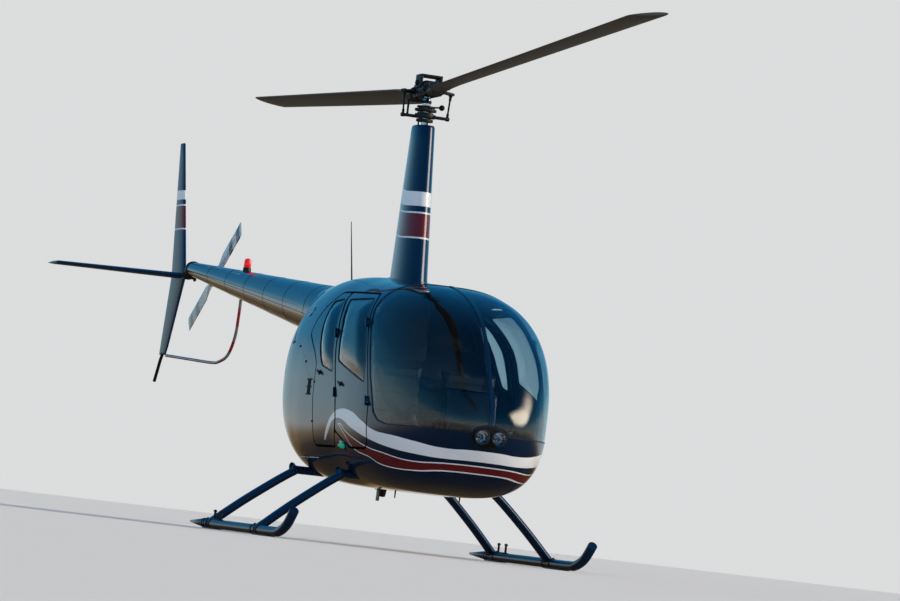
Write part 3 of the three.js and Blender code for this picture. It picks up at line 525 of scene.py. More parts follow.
LAMP_X, LAMP_Z, LAMP_RADIUS = 0.057, 0.790, 0.047
HOUSING_HALF_X, HOUSING_HALF_Z = 0.125, 0.082
lower_hull = copy_of(wall, "hull")
cut(lower_hull, side_block(HULL_SIDE), "INTERSECT")
cut(windshield_hole, oval_post(HOUSING_HALF_X, HOUSING_HALF_Z, (0, LAMP_Z), -2.6, -1.9))
for tool in (windshield_hole, doorway, rear_hole):
    cut(lower_hull, tool, last_use=False)
LAMP_HOLE = LAMP_RADIUS + 0.006
for side in (-1, 1):
    cut(lower_hull, oval_post(LAMP_HOLE, LAMP_HOLE, (side * LAMP_X, LAMP_Z), -2.4, -2.0))
finished(lower_hull, "hull_shell", "paint_navy", body_paint)
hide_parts("lower_hull")

roof = copy_of(wall, "roof")
cut(roof, side_block(grown(ROOF_SIDE, -SEAM)), "INTERSECT")
for tool in (windshield_hole, doorway):
    cut(roof, tool, last_use=False)
finished(roof, "roof_shell", "paint_navy", body_paint)
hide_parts("roof_frame")

cowl = copy_of(wall, "cowl")
for outline in (grown(HULL_SIDE, SEAM), grown(ROOF_SIDE, SEAM), WINDSHIELD):
    cut(cowl, side_block(outline))
for tool in (doorway, rear_hole):
    cut(cowl, tool, last_use=False)
for name, _, low_x, high_x in SIDES:
    door = copy_of(cowl, name)
    cut(door, side_block(grown(COWL_SIDE, -SEAM), low_x, high_x), "INTERSECT")
    finished(door, f"side_cowl_{name}_skin", "paint_navy", body_paint)
    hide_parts("side_cowl_" + name)
cut(cowl, side_block(COWL_SIDE))
finished(cowl, "upper_cowl_shell", "paint_navy", body_paint)
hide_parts("upper_cowl")


# The cabin glass: blown acrylic, lightly smoked, in thin sheets with a dark sealing strip round each. The
# windshield is two halves, one on each side of a painted bow.
BOW_HALF = 0.013
PANE = 0.005
FRONT_WINDOW = [(-1.345, 1.066), (-1.069, 1.135), (-.776, 1.206), (-.745, 1.278), (-.674, 1.416),
                (-.545, 1.550), (-.430, 1.645), (-.930, 1.648), (-.985, 1.625), (-1.060, 1.557),
                (-1.142, 1.472), (-1.248, 1.350), (-1.325, 1.217)]
REAR_WINDOW = [(-.690, 1.130), (-.430, 1.172), (-.385, 1.205), (-.309, 1.283), (-.213, 1.418),
               (-.149, 1.534), (-.095, 1.635), (-.290, 1.652), (-.335, 1.625), (-.425, 1.555),
               (-.555, 1.415), (-.640, 1.250)]


def surface(name, color, roughness, ripple, coat=None, **sockets):
    """A material with a ripple (scale, strength, depth), perhaps a coat, and other inputs by name."""
    material, shader = plain_material(name, color, roughness)
    rippled(material.node_tree, shader, *ripple)
    if coat:
        clear_coat(shader, coat)
    for socket, value in sockets.items():
        shader.inputs[socket.replace("_", " ")].default_value = value
    return material


acrylic = surface("smoked_acrylic", (0.74, 0.81, 0.84), 0.0, (1.4, 0.06, 0.004), Transmission_Weight=1.0,
                  IOR=1.49)
seal_rubber = surface("seal_rubber", (0.006, 0.010, 0.018), 0.45, (240.0, 0.25, 0.0005))
# Dull black rubber for the strips round the doors' edges. It is dull enough to be partly painted shade,
# standing for the shadow in the door gaps.
rubber_and_gap_shade = surface("rubber_and_gap_shade", (0.006, 0.006, 0.007), 0.9, (240.0, 0.2, 0.0005),
                      Specular_IOR_Level=0.05)


def skin_piece(name, depth, thickness, outline, low_x=-1.0, high_x=1.0, hole=None):
    """A piece of the body's skin inside an outline, perhaps with a hole in it."""
    piece = shell(name, depth, thickness)
    cut(piece, side_block(outline, low_x, high_x), "INTERSECT")
    if hole:
        cut(piece, side_block(hole, low_x, high_x))
    return piece


def rounded(piece, width, segments=2, angle=1.0):
    """Rounds the edges that are sharper than an angle."""
    finish_modifier(piece, "BEVEL", width=width, segments=segments, limit_method="ANGLE", angle_limit=angle)


housing = oval_post(HOUSING_HALF_X + 0.002, HOUSING_HALF_Z + 0.002, (0, LAMP_Z), -2.6, -1.9)
glass_sheet = shell("glass_sheet", 0.003, PANE)
cut(glass_sheet, side_block(grown(WINDSHIELD, -0.001)), "INTERSECT")
seal_sheet = skin_piece("seal_sheet", -0.0012, 0.0085, WINDSHIELD, hole=grown(WINDSHIELD, -0.008))
for sheet in (glass_sheet, seal_sheet):
    cut(sheet, housing, last_use=False)
WHOLE_SIDE = [(-2.6, .2), (1.6, .2), (1.6, 2.1), (-2.6, 2.1)]
for name, low_x, high_x in (("left", BOW_HALF + .001, 1), ("right", -1, -BOW_HALF - .001)):
    for sheet, kind, slot, material in ((glass_sheet, "windshield_{}_pane", "window_glass", acrylic),
                                        (seal_sheet, "windshield_{}_seal", "rubber", seal_rubber)):
        half = copy_of(sheet, name)
        cut(half, side_block(WHOLE_SIDE, low_x, high_x), "INTERSECT")
        finished(half, kind.format(name), slot, material)
        if sheet == glass_sheet:
            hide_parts("windshield_" + name)
for sheet in (glass_sheet, seal_sheet):
    bpy.data.objects.remove(sheet)
bow = skin_piece("bow", -0.004, 0.030, grown(WINDSHIELD, -0.0005), -BOW_HALF, BOW_HALF)
cut(bow, housing)
rounded(bow, 0.003)
finished(bow, "windshield_bow_strip", "paint_navy", body_paint)
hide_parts("windshield_bow")


# Four doors, bonded shells as thick as a thumb, each with its pane, seals, lining and lever handle. They
# hang on outside hinges with pins along the sloping front edges.
DOOR_WALL = 0.024
SPLIT_TRIM, CORNER_TRIM = 0.004, 0.007
short_split = [(y - SPLIT_TRIM, z) for y, z in DOOR_SPLIT[1:]]
trimmed_edge = [(y - CORNER_TRIM * min(max((z - 1.38) / 0.2, 0), 1), z) for y, z in REAR_EDGE]
# Columns: name, outline, window, hinge pins' low and high ends, feet of the fixed leaves, handle
DOORS = [
    ("front", [*SLANT, *short_split, *FRONT_EDGE], FRONT_WINDOW,
     ((.622, -1.437, .952), (.598, -1.172, 1.472)), ((.592, -1.471, .950), (.560, -1.190, 1.468)),
     (-.905, 1.055)),
    ("rear", [*trimmed_edge, *reversed(DOOR_SPLIT)], REAR_WINDOW,
     ((.652, -.795, 1.000), (.632, -.612, 1.400)), ((.592, -.795, 1.000), (.568, -.612, 1.400)),
     (-.405, 1.130)),
]
KNUCKLE_RADIUS, KNUCKLE_HALF, PIN_HALF, LEAF, PLAY = 0.0065, 0.012, 0.034, 0.003, 0.0005
CORNER = 0.03
DOME_HEIGHT, DOME_REACH = 0.024, 0.105
EDGE_SEAL, LINING_INSET = 0.004, 0.035
black_metal = surface("blackened_metal", (0.018, 0.018, 0.020), 0.42, (160.0, 0.2, 0.0006), Metallic=0.6)
lining = surface("lining_cloth", (0.075, 0.076, 0.080), 0.9, (420.0, 0.5, 0.0008))


def section_at(y):
    """The body's section at a place along it."""
    low, high = 0.0, float(len(BODY) - 1)
    for _ in range(30):
        middle = (low + high) / 2
        if row_at(BODY, middle)[0] < y:
            low = middle
        else:
            high = middle
    return row_at(BODY, low)


def skin_at(y, z, side):
    """The point of the skin that stands at y and z on one side."""
    _, half, low, high, wide, above, below = section_at(y)
    height, power = (high - wide, above) if z > wide else (wide - low, below)
    share = min(abs(z - wide) / height, 1.0)
    return spot(side * half * (1 - share ** power) ** (1 / power), y, z)


def seat_on_skin(piece, y, z, side, lift=0.0, turn=0.0):
    """Moves a piece made flat at the origin, its top along +Y and its face along +Z, onto the skin."""
    point = skin_at(y, z, side)
    along = skin_at(y + 0.01, z, side) - skin_at(y - 0.01, z, side)
    rising = skin_at(y, z + 0.01, side) - skin_at(y, z - 0.01, side)
    out = along.cross(rising).normalized()
    out *= math.copysign(1, out.x * side)
    rising.normalize()
    frame_in = Matrix((rising.cross(out), rising, out)).transposed().to_4x4()
    place = Matrix.Translation(point + lift * out) @ frame_in @ Matrix.Rotation(turn, 4, "Z")
    piece.data.transform(piece.matrix_world)
    piece.data.transform(place)
    piece.matrix_world = Matrix.Identity(4)
    return piece


def bevelled_block(size, middle, width=0.002, turn=0.0):
    """A small block with rounded edges."""
    block = added(bpy.ops.mesh.primitive_cube_add, size=1, location=middle, rotation=(0, 0, turn))
    block.scale = size
    bpy.ops.object.transform_apply(location=True, rotation=True, scale=True)
    finish_modifier(block, "BEVEL", width=width, segments=2)
    return block


def bar(start, end, radius, corners=20, end_radius=None, rim=0.0):
    """A round bar between two points, with rounded rims."""
    start, end = Vector(start), Vector(end)
    piece = added(bpy.ops.mesh.primitive_cone_add, vertices=corners, radius1=radius,
                  radius2=radius if end_radius is None else end_radius,
                  depth=(end - start).length, location=(start + end) / 2)
    piece.rotation_euler = (end - start).to_track_quat("Z", "Y").to_euler()
    bpy.ops.object.transform_apply(location=True, rotation=True, scale=True)
    if rim:
        rounded(piece, rim)
    return piece


def as_one(pieces):
    """Joins pieces into the first of them."""
    bpy.ops.object.select_all(action="DESELECT")
    for piece in pieces:
        piece.select_set(True)
    bpy.context.view_layer.objects.active = pieces[0]
    bpy.ops.object.join()
    return bpy.context.object


def edge_distance(y, z, outline):
    """How far a place is from the nearest edge of an outline."""
    place, distances = Vector((y, z)), []
    for start, end in zip(map(Vector, outline), map(Vector, outline[1:] + outline[:1])):
        run = end - start
        share = (place - start).dot(run) / max(run.length_squared, 1e-9)
        distances.append((start + min(max(share, 0.0), 1.0) * run - place).length)
    return min(distances)


def domed(pane, outline, side):
    """Blows a pane outwards, most in its middle."""
    for vertex in pane.data.vertices:
        share = min(edge_distance(vertex.co.y - MAST_Y, vertex.co.z, outline) / DOME_REACH, 1.0)
        vertex.co.x += side * DOME_HEIGHT * share * share * (3 - 2 * share)


def leaf_plate(start, end, pin, low, high):
    """A flat plate from a hinge pin to its foot, as long along the pin as from low to high."""
    reach = end - start
    reach -= reach.dot(pin) * pin
    plate = added(bpy.ops.mesh.primitive_cube_add, size=1)
    plate.scale = (reach.length, 2 * LEAF, high - low)
    plate.location = (reach.length / 2, 0, (low + high) / 2)
    bpy.ops.object.transform_apply(location=True, rotation=True, scale=True)
    finish_modifier(plate, "BEVEL", width=0.0012, segments=2)
    ahead = reach.normalized()
    turned = Matrix((ahead, pin.cross(ahead), pin)).transposed().to_4x4()
    plate.data.transform(Matrix.Translation(start) @ turned)
    return plate


door_wall = shell("door_wall", 0, DOOR_WALL)
pane_sheet = shell("pane_sheet", 0.004, PANE)
lining_sheet = shell("lining_sheet", DOOR_WALL + 0.0005, 0.007)
for name, outline, window, pins, feet, grip in DOORS:
    door_outline = eased(grown(outline, -DOOR_GAP / 2), CORNER)
    edge_hole = eased(grown(outline, -DOOR_GAP / 2 - EDGE_SEAL), CORNER)
    lining_outline = eased(grown(outline, -LINING_INSET), 0.05)
    for side_name, side, low_x, high_x in SIDES:
        body = f"{name}_door_{side_name}"
        panel = copy_of(door_wall, body)
        cut(panel, side_block(door_outline, low_x, high_x), "INTERSECT")
        edge = skin_piece("edge", -.0006, .004, door_outline, low_x, high_x, edge_hole)
        fixed, moving = [], []
        ends = [spot(side * x, y, z) for x, y, z in pins]
        pin = (ends[1] - ends[0]).normalized()
        for centre, (x, y, z) in zip(ends, feet):
            foot = spot(side * x, y, z)
            reach = KNUCKLE_HALF + DOOR_GAP
            notch = leaf_plate(centre, foot, pin, -reach, reach)
            finish_modifier(notch, "SOLIDIFY", thickness=DOOR_GAP, offset=1.0, use_even_offset=True)
            in_edit(notch, bpy.ops.mesh.convex_hull)
            cut(edge, notch, last_use=False)
            cut(panel, notch)
            half = KNUCKLE_HALF * pin
            fixed += [bar(centre - half, centre + half, KNUCKLE_RADIUS, rim=.001),
                      leaf_plate(centre, foot, pin, -KNUCKLE_HALF, KNUCKLE_HALF)]
            door_foot = centre + Vector((-side * .028, .012, 0))
            for low, high in ((KNUCKLE_HALF + PLAY, PIN_HALF), (-PIN_HALF, -KNUCKLE_HALF - PLAY)):
                moving += [bar(centre + low * pin, centre + high * pin, KNUCKLE_RADIUS, rim=.001),
                           leaf_plate(centre, door_foot, pin, low, high)]
        cut(panel, side_block(eased(window, CORNER), low_x, high_x))
        finished(panel, body + "_shell", "paint_navy", body_paint, body)
        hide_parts(body)
        # The edge strip is the door's rubber seal, and partly painted shade for the dark gap round the door.
        finished(edge, body + "_edge_seal_and_gap_shade", "rubber", rubber_and_gap_shade, body)
        pane = copy_of(pane_sheet, body)
        cut(pane, side_block(eased(grown(window, -.0008), CORNER), low_x, high_x), "INTERSECT")
        domed(pane, window, side)
        finished(pane, f"{name}_window_{side_name}_pane", "window_glass", acrylic, body)
        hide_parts(f"{name}_window_{side_name}")
        strip = skin_piece("strip", -.0012, .007, eased(grown(window, .001), CORNER), low_x, high_x,
                           eased(grown(window, -.005), 0.028))
        finished(strip, f"{name}_window_{side_name}_seal", "rubber", seal_rubber, body)
        inside = copy_of(lining_sheet, body)
        cut(inside, side_block(lining_outline, low_x, high_x), "INTERSECT")
        cut(inside, side_block(eased(grown(window, .012), CORNER), low_x, high_x))
        finished(inside, body + "_lining", "cabin_trim", lining, body)
        finished(as_one(fixed), body + "_hinge_fixed", "paint_navy", body_paint)
        finished(as_one(moving), body + "_hinge_moving", "paint_navy", body_paint, body)
        plate = bevelled_block((.060, .026, .004), (0, 0, .002))
        lever = bevelled_block((.016, .075, .009), (0, 0, .013), .003, math.radians(70))
        neck = bar((.022, -.004, 0), (.022, -.004, .012), .006)
        handle = seat_on_skin(as_one([plate, lever, neck]), *grip, side, -0.001)
        finished(handle, body + "_handle", "dark_metal", black_metal, body)
for sheet in (door_wall, pane_sheet, lining_sheet):
    bpy.data.objects.remove(sheet)


# The nose lamps: two sealed lamps side by side, each a bright bowl behind a ribbed lens in a black ring,
# set in a black oval panel that is screwed to the nose.
LAMP_FACE_Y = -2.2215
# Columns: depth, narrow radius, wide radius, turn in degrees
LAMP_FACETS = [(.036, .027, .0442, 0.0), (.061, .010, .034, 18.0)]
bright_metal = surface("bright_metal", (0.80, 0.81, 0.83), 0.16, (90.0, 0.1, 0.0004), Metallic=1.0)
satin_black = surface("satin_black_paint", (0.008, 0.008, 0.009), 0.35, (60.0, 0.1, 0.001))
ribbed_glass, shader = plain_material("ribbed_glass", (0.55, 0.60, 0.66), 0.02)
shader.inputs["Transmission Weight"].default_value = 1.0
shader.inputs["IOR"].default_value = 1.45
tree = ribbed_glass.node_tree
place = object_place(tree)
ribs = []
for scale, way in ((38.0, "X"), (19.0, "Z")):
    waves = add_node(tree, "TexWave", Vector=place, Scale=scale, Distortion=0.0)
    waves.bands_direction = way
    ribs.append(waves.outputs["Fac"])
bumped(tree, shader, math_node(tree, "ADD", *ribs), 0.3, 0.001)


def ring(middle, outer, inner, depth, axis="Y", corners=48, rim=0.001):
    """A flat ring round an axis, its rims rounded."""
    along = Vector([float(axis == letter) for letter in "XYZ"])
    middle = Vector(middle)
    half = along * depth / 2
    piece = bar(middle - half, middle + half, outer, corners)
    cut(piece, bar(middle - 2 * half, middle + 2 * half, inner, corners))
    rounded(piece, rim)
    return piece


def ball(middle, segments, ring_count, radii):
    """A ball, its radius given each way."""
    piece = added(bpy.ops.mesh.primitive_uv_sphere_add, segments=segments, ring_count=ring_count, radius=1,
                  location=middle)
    piece.scale = radii
    return piece


face = shell("face", -0.0018, 0.006)
panel_post = oval_post(HOUSING_HALF_X - 0.006, HOUSING_HALF_Z - 0.006, (0, LAMP_Z), -2.6, -1.95)
cut(face, panel_post, "INTERSECT")
for name, side, _, _ in SIDES:
    hole = oval_post(LAMP_RADIUS + 0.007, LAMP_RADIUS + 0.007, (side * LAMP_X, LAMP_Z), -2.5, -1.9)
    cut(face, hole)
    middle = spot(side * LAMP_X, LAMP_FACE_Y, LAMP_Z)
    rim_ring = ring(middle + Vector((0, .004, 0)), LAMP_RADIUS + 0.0045, LAMP_RADIUS - 0.004, 0.016)
    finished(rim_ring, f"nose_lamp_{name}_ring", "black_plastic", satin_black)
    bowl = bar(middle + Vector((0, .066, 0)), middle + Vector((0, .006, 0)), 0.016, 48, 0.045)
    for depth, narrow, wide, turn in LAMP_FACETS:
        facets = bar(middle + Vector((0, depth, 0)), middle + Vector((0, .002, 0)), narrow, 10, wide)
        facets.data.transform(Matrix.Translation(middle) @ Matrix.Rotation(math.radians(turn), 4, "Y")
                              @ Matrix.Translation(-middle))
        cut(bowl, facets)
    cap = bar(middle + Vector((0, .058, 0)), middle + Vector((0, .022, 0)), .006, 24, .009, .002)
    finished(cap, f"nose_lamp_{name}_bulb_cap", "black_plastic", satin_black)
    finished(bowl, f"nose_lamp_{name}_bowl", "bare_metal", bright_metal)
    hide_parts("landing_lamp_" + name)
    lens_glass = ball(middle, 40, 20, (LAMP_RADIUS - 0.0035, 0.007, LAMP_RADIUS - 0.0035))
    finished(lens_glass, f"nose_lamp_{name}_lens", "lamp_glass", ribbed_glass)
finished(face, "nose_lamp_panel", "black_plastic", satin_black)


# The mast fairing: a tall sheet-metal casing, streamlined in plan, round the mast tube and its controls.
# It carries the same bands as the body, and its foot sits on the cowl with a narrow flange.
# Columns: z, chord, thickness, y of the middle
FAIRING = [(1.760, .612, .206, -.020), (1.900, .575, .194, -.010), (2.300, .480, .168, .012),
           (2.890, .343, .129, .0395), (2.905, .330, .118, .040)]
FAIRING_STEPS = 6


def banded_paint(name, bands, sweep=None, gloss=1.0):
    """The dark blue paint with bands round it, each of a low height, a high height and a colour. The bands
    may sweep up behind: from a y, over a length, by a height."""
    paint, shader = plain_material(name, NAVY, 0.32)
    clear_coat(shader, weight=gloss)
    tree = paint.node_tree
    rippled(tree, shader, 3.0, 0.08, 0.006)
    place = add_node(tree, "SeparateXYZ", Vector=object_place(tree))
    level = place.outputs[2]
    if sweep:
        start, length, rise = sweep
        share = math_node(tree, "MULTIPLY_ADD", place.outputs[1], 1 / length, -(start + MAST_Y) / length)
        bend = math_node(tree, "POWER", math_node(tree, "MAXIMUM", share, 0.0), 3.0)
        level = math_node(tree, "MULTIPLY_ADD", bend, -rise, level)
    color, marks = NAVY, 0.0
    for low, high, band_color in bands:
        inside = math_node(tree, "COMPARE", level, (low + high) / 2, (high - low) / 2)
        color = mixed_color(tree, inside, color, band_color)
        marks = math_node(tree, "MAXIMUM", inside, marks)
    if bands:
        tree.links.new(color, shader.inputs["Base Color"])
    flaked(tree, shader, marks, FLAKE * gloss)
    return paint


def fairing_point(row, turn):
    """A point of the fairing's section, blunt in front and thin behind."""
    z, chord, thick, middle = row
    along = math.cos(turn)
    return spot(0.5 * thick * math.sin(turn) * (1 - 0.3 * along), middle + 0.5 * chord * along, z)


def laid_rows(rows, steps, around, point):
    """A closed skin through the rows of a table: point(row, turn) lays it."""
    laid = rows_along(rows, steps, curved=False)
    centre = [(point(row, 0) + point(row, math.pi)) / 2 for row in laid]
    return laid_skin(len(laid) - 1, around, lambda step, turn: point(laid[step], turn),
                     lambda step: centre[step])


FAIRING_BANDS = [(2.343, 2.442, STRIPE_WHITE), (2.119, 2.303, STRIPE_WHITE), (2.130, 2.292, STRIPE_MAROON)]
fairing_paint = banded_paint("fairing_paint_banded", FAIRING_BANDS, (-0.228, 0.480, 0.096))
fairing = laid_rows(FAIRING, FAIRING_STEPS, 72, fairing_point)
cut(fairing, skin, last_use=False)
cut(fairing, bar(spot(0, 0, 2.875), spot(0, 0, 2.95), 0.050, 40))
finished(fairing, "mast_fairing_skin", "paint_navy", fairing_paint)
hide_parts("mast_fairing")
FLANGE_OUTSIDE = [(1.70, .640, .232, -.020), (1.95, .618, .228, -.008)]
FLANGE_INSIDE = [(1.60, .606, .204, -.020), (2.05, .556, .196, -.008)]
flange = laid_rows(FLANGE_OUTSIDE, 8, 72, fairing_point)
cut(flange, shell("band", -0.004, 0.004), "INTERSECT")
cut(flange, laid_rows(FLANGE_INSIDE, 2, 48, fairing_point))
finished(flange, "mast_fairing_flange", "paint_navy", body_paint)


# The tail boom: riveted cones of thin sheet, joined end to end, with a seam along the side and a dark
# bulkhead that closes the end. Along each side's seam lies a black strip that is partly painted reflection:
# its black stands for the dark horizon line mirrored in the boom's side.
BOOM_START_Y, BOOM_END_Y = 1.150, 5.735
BOOM_JOINTS = [BOOM_START_Y, 1.790, 2.430, 3.070, 3.710, 4.350, 4.990, BOOM_END_Y]
# At one place along it, the boom's height and radius, and how they change with each metre aft
BOOM_KNOWN_Y = 2.138
BOOM_Z, BOOM_RISE = 1.673, 0.0959
BOOM_RADIUS, BOOM_TAPER = 0.178, 0.0335
LAP_STEP = 0.0007


def boom_centre(y):
    """The middle of the boom at a place along it."""
    return spot(0, y, BOOM_Z + BOOM_RISE * (y - BOOM_KNOWN_Y))


def boom_radius(y):
    """The boom's radius at a place along it."""
    return BOOM_RADIUS - BOOM_TAPER * (y - BOOM_KNOWN_Y)


boom_paint = banded_paint("boom_paint", [])
boom = as_one([
    bar(boom_centre(start), boom_centre(end), boom_radius(start), 112, boom_radius(end) - LAP_STEP)
    for start, end in zip(BOOM_JOINTS, BOOM_JOINTS[1:])])
finished(boom, "tail_boom_skin", "paint_navy", boom_paint)
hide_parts("tail_boom")
strips, laps = [], []
# Black seam strips, their black partly a painted reflection of the dark horizon line.
for side in (-1, 1):
    ends = [boom_centre(y) + Vector((side * boom_radius(y) * 0.985, 0, -boom_radius(y) * 0.17))
            for y in (1.500, 5.720)]
    strips.append(bar(*ends, 0.0022, 8))
for y in BOOM_JOINTS[1:-1]:
    laps.append(ring(boom_centre(y), boom_radius(y) + 0.0009, boom_radius(y) - 0.003, 0.004, corners=96,
                     rim=.0003))
finished(as_one(strips), "tail_boom_seam_reflection_strips", "black_plastic", satin_black)
finished(as_one(laps), "tail_boom_lap_rings", "paint_navy", boom_paint)
end_ring = ring(boom_centre(BOOM_END_Y + 0.003), boom_radius(BOOM_END_Y) + 0.006,
                boom_radius(BOOM_END_Y) - 0.010, 0.030, rim=.002)
finished(end_ring, "tail_boom_end_ring", "black_plastic", satin_black)


# The tail: two fins, a stabiliser out to starboard, a small gearbox that carries them, a bent tube that
# guards the tail rotor, and a sprung skid under the lower fin.
# Columns: z, leading y, trailing y, thickness
UPPER_FIN = [(1.973, 5.960, 6.400, .042), (2.500, 6.210, 6.505, .032), (3.060, 6.472, 6.616, .018),
             (3.068, 6.480, 6.610, .010)]
LOWER_FIN = [(1.330, 6.308, 6.494, .010), (1.340, 6.292, 6.500, .020), (1.400, 6.248, 6.492, .024),
             (1.971, 5.960, 6.400, .042)]
# Columns: x, leading y, trailing y, thickness, z
STABILISER = [(-.0225, 5.975, 6.385, .044, 1.972), (-1.020, 5.985, 6.340, .030, 1.950),
              (-1.042, 5.994, 6.336, .022, 1.949), (-1.050, 6.010, 6.325, .010, 1.949)]
GUARD_RADIUS, TAIL_SKID_RADIUS = 0.012, 0.013
GUARD = [(4.195, 1.800), (4.200, 1.640), (4.235, 1.470), (4.380, 1.330), (4.620, 1.276), (4.852, 1.269),
         (5.500, 1.294), (6.270, 1.325)]
TAIL_SKID = [(6.385, 1.345), (6.440, 1.290), (6.500, 1.200), (6.558, 1.115)]


def wing_part(turn):
    """Along and across a streamlined section, blunt in front."""
    return math.cos(turn), math.sin(turn) * (1 - 0.35 * math.cos(turn))


def fin_point(row, turn):
    """A point of a fin's section at one of its rows."""
    z, lead, trail, thick = row
    along, across = wing_part(turn)
    return spot(0.5 * thick * across, (lead + trail) / 2 + 0.5 * (trail - lead) * along, z)


def stabiliser_point(row, turn):
    """A point of the stabiliser's section at one of its rows."""
    x, lead, trail, thick, z = row
    along, across = wing_part(turn)
    return spot(x, (lead + trail) / 2 + 0.5 * (trail - lead) * along, z + 0.5 * thick * across)


def swept(points, steps, around, half_wide, half_high, wide_way):
    """A rod bent through its points, oval in section, its width kept along one way."""
    path = [Vector(place) for place in rows_along(points, steps)]
    sides = []
    for k, centre in enumerate(path):
        ahead = (path[min(k + 1, len(path) - 1)] - path[max(k - 1, 0)]).normalized()
        wide = (Vector(wide_way) - Vector(wide_way).dot(ahead) * ahead).normalized()
        sides.append((centre, wide, ahead.cross(wide)))
    return laid_skin(len(path) - 1, around, lambda step, turn: sides[step][0]
                     + half_wide * math.cos(turn) * sides[step][1]
                     + half_high * math.sin(turn) * sides[step][2], lambda step: path[step])


FIN_BANDS = [(2.598, 2.674, STRIPE_WHITE), (2.350, 2.558, STRIPE_WHITE), (2.362, 2.546, STRIPE_MAROON)]
fin_paint = banded_paint("fin_paint_banded", FIN_BANDS, gloss=0.22)
for name, rows, point in (("upper_fin", UPPER_FIN, fin_point), ("lower_fin", LOWER_FIN, fin_point),
                          ("stabiliser", STABILISER, stabiliser_point)):
    fin = laid_rows(rows, 6, 48, point)
    finished(fin, name + "_skin", "paint_navy", fin_paint)
    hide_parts(name)
tail_skid = swept([spot(0, y, z) for y, z in TAIL_SKID], 8, 20, TAIL_SKID_RADIUS, TAIL_SKID_RADIUS,
                  (1, 0, 0))
finished(tail_skid, "tail_skid_rod", "gear_paint", satin_black)
# Painted shade: the guard's pale and red bands are both coloured darker than the paint, for the shade that
# the backlit tube stands in.
GUARD_WHITE_IN_PAINTED_SHADE, GUARD_RED_IN_PAINTED_SHADE, GUARD_BAND = (0.150, 0.135, 0.125), (0.230, 0.008, 0.012), 0.08
guard_bands_painted_shade, shader = plain_material("guard_bands_painted_shade", GUARD_WHITE_IN_PAINTED_SHADE, 0.35)
clear_coat(shader, 0.08)
tree = guard_bands_painted_shade.node_tree
place = add_node(tree, "SeparateXYZ", Vector=object_place(tree))
run = math_node(tree, "SUBTRACT", math_node(tree, "MULTIPLY", place.outputs[1], 0.9), place.outputs[2])
red_band = math_node(tree, "GREATER_THAN", math_node(tree, "PINGPONG", run, 2 * GUARD_BAND), GUARD_BAND)
tree.links.new(mixed_color(tree, red_band, GUARD_WHITE_IN_PAINTED_SHADE, GUARD_RED_IN_PAINTED_SHADE), shader.inputs["Base Color"])
guard = swept([spot(0, y, z) for y, z in GUARD], 10, 20, GUARD_RADIUS, GUARD_RADIUS, (1, 0, 0))
cut(guard, bar(boom_centre(3.9), boom_centre(4.6), boom_radius(3.9) - .001, 64, boom_radius(4.6) - .001))
finished(guard, "tail_guard_tube", "bare_metal", guard_bands_painted_shade)
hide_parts("tail_guard")

cast_metal = surface("cast_metal", (0.045, 0.046, 0.050), 0.5, (130.0, 0.35, 0.001), Metallic=0.8)


def hex_bolt(foot, way, radius=0.010, height=0.008, washer=True):
    """A hexagon head, on a washer."""
    foot, way = Vector(foot), Vector(way).normalized()
    head = [bar(foot, foot + way * height, radius, 6, rim=radius * 0.12)]
    if washer:
        head.append(bar(foot, foot + way * height * 0.25, radius * 1.35, 24))
    return head


GEARBOX_Y, GEARBOX_Z = 5.893, 1.985
COVER_BOLTS, COVER_BOLT_CIRCLE = 8, 0.049


def bars(rows):
    """Round bars from a table. Columns: start, end, radius, corners, radius at the end, rounding."""
    return [bar(spot(*start), spot(*end), *sizes) for start, end, *sizes in rows]


def turns(count, first=0.0):
    """Angles at even steps all round, from a first one in degrees."""
    return [math.radians(360 / count * k + first) for k in range(count)]


case = bars([
    ((0, BOOM_END_Y - .010, 2.012), (0, 5.845, 1.990), .054, 40, .047, .003),
    ((0, 5.860, GEARBOX_Z), (0, 5.925, GEARBOX_Z), .050, 40, .044, .006),
    ((-.030, GEARBOX_Y, GEARBOX_Z), (.062, GEARBOX_Y, GEARBOX_Z), .046, 40, .040, .004),
    ((.055, GEARBOX_Y, GEARBOX_Z), (.162, GEARBOX_Y, GEARBOX_Z), .030, 36, .026, .002),
    ((.058, GEARBOX_Y, GEARBOX_Z), (.066, GEARBOX_Y, GEARBOX_Z), .056, 40, None, .001),
    ((0, GEARBOX_Y, 2.020), (0, GEARBOX_Y, 2.048), .020, 28, .014, .002)])
case.append(bevelled_block((.030, .060, .060), spot(0, 5.955, 1.972), .004))
for turn in turns(COVER_BOLTS, 22):
    y, z = COVER_BOLT_CIRCLE * math.cos(turn), COVER_BOLT_CIRCLE * math.sin(turn)
    case += hex_bolt(spot(.066, GEARBOX_Y + y, GEARBOX_Z + z), (1, 0, 0), .004, .004)
case = finished(as_one(case), "tail_gearbox_case", "dark_metal", cast_metal)
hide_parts("tail_gearbox")
sight = bars([((-.030, GEARBOX_Y, GEARBOX_Z), (-.040, GEARBOX_Y, GEARBOX_Z), .014, 28, None, .001)])
finished(as_one(sight), "tail_gearbox_sight", "bare_metal", bright_metal)


# The tail rotor: a forged yoke on the gearbox's output shaft, with two metal blades bolted to it. The
# blades are pale, with dark bands on their outer halves.
TAIL_AXIS = spot(0, GEARBOX_Y, GEARBOX_Z)
TAIL_DISC_X = 0.225
TAIL_TURN = math.radians(60)
TAIL_PALE, TAIL_DARK = (0.55, 0.57, 0.60), (0.03, 0.045, 0.085)
TAIL_BANDS_FROM, TAIL_BAND = 0.36, 0.047
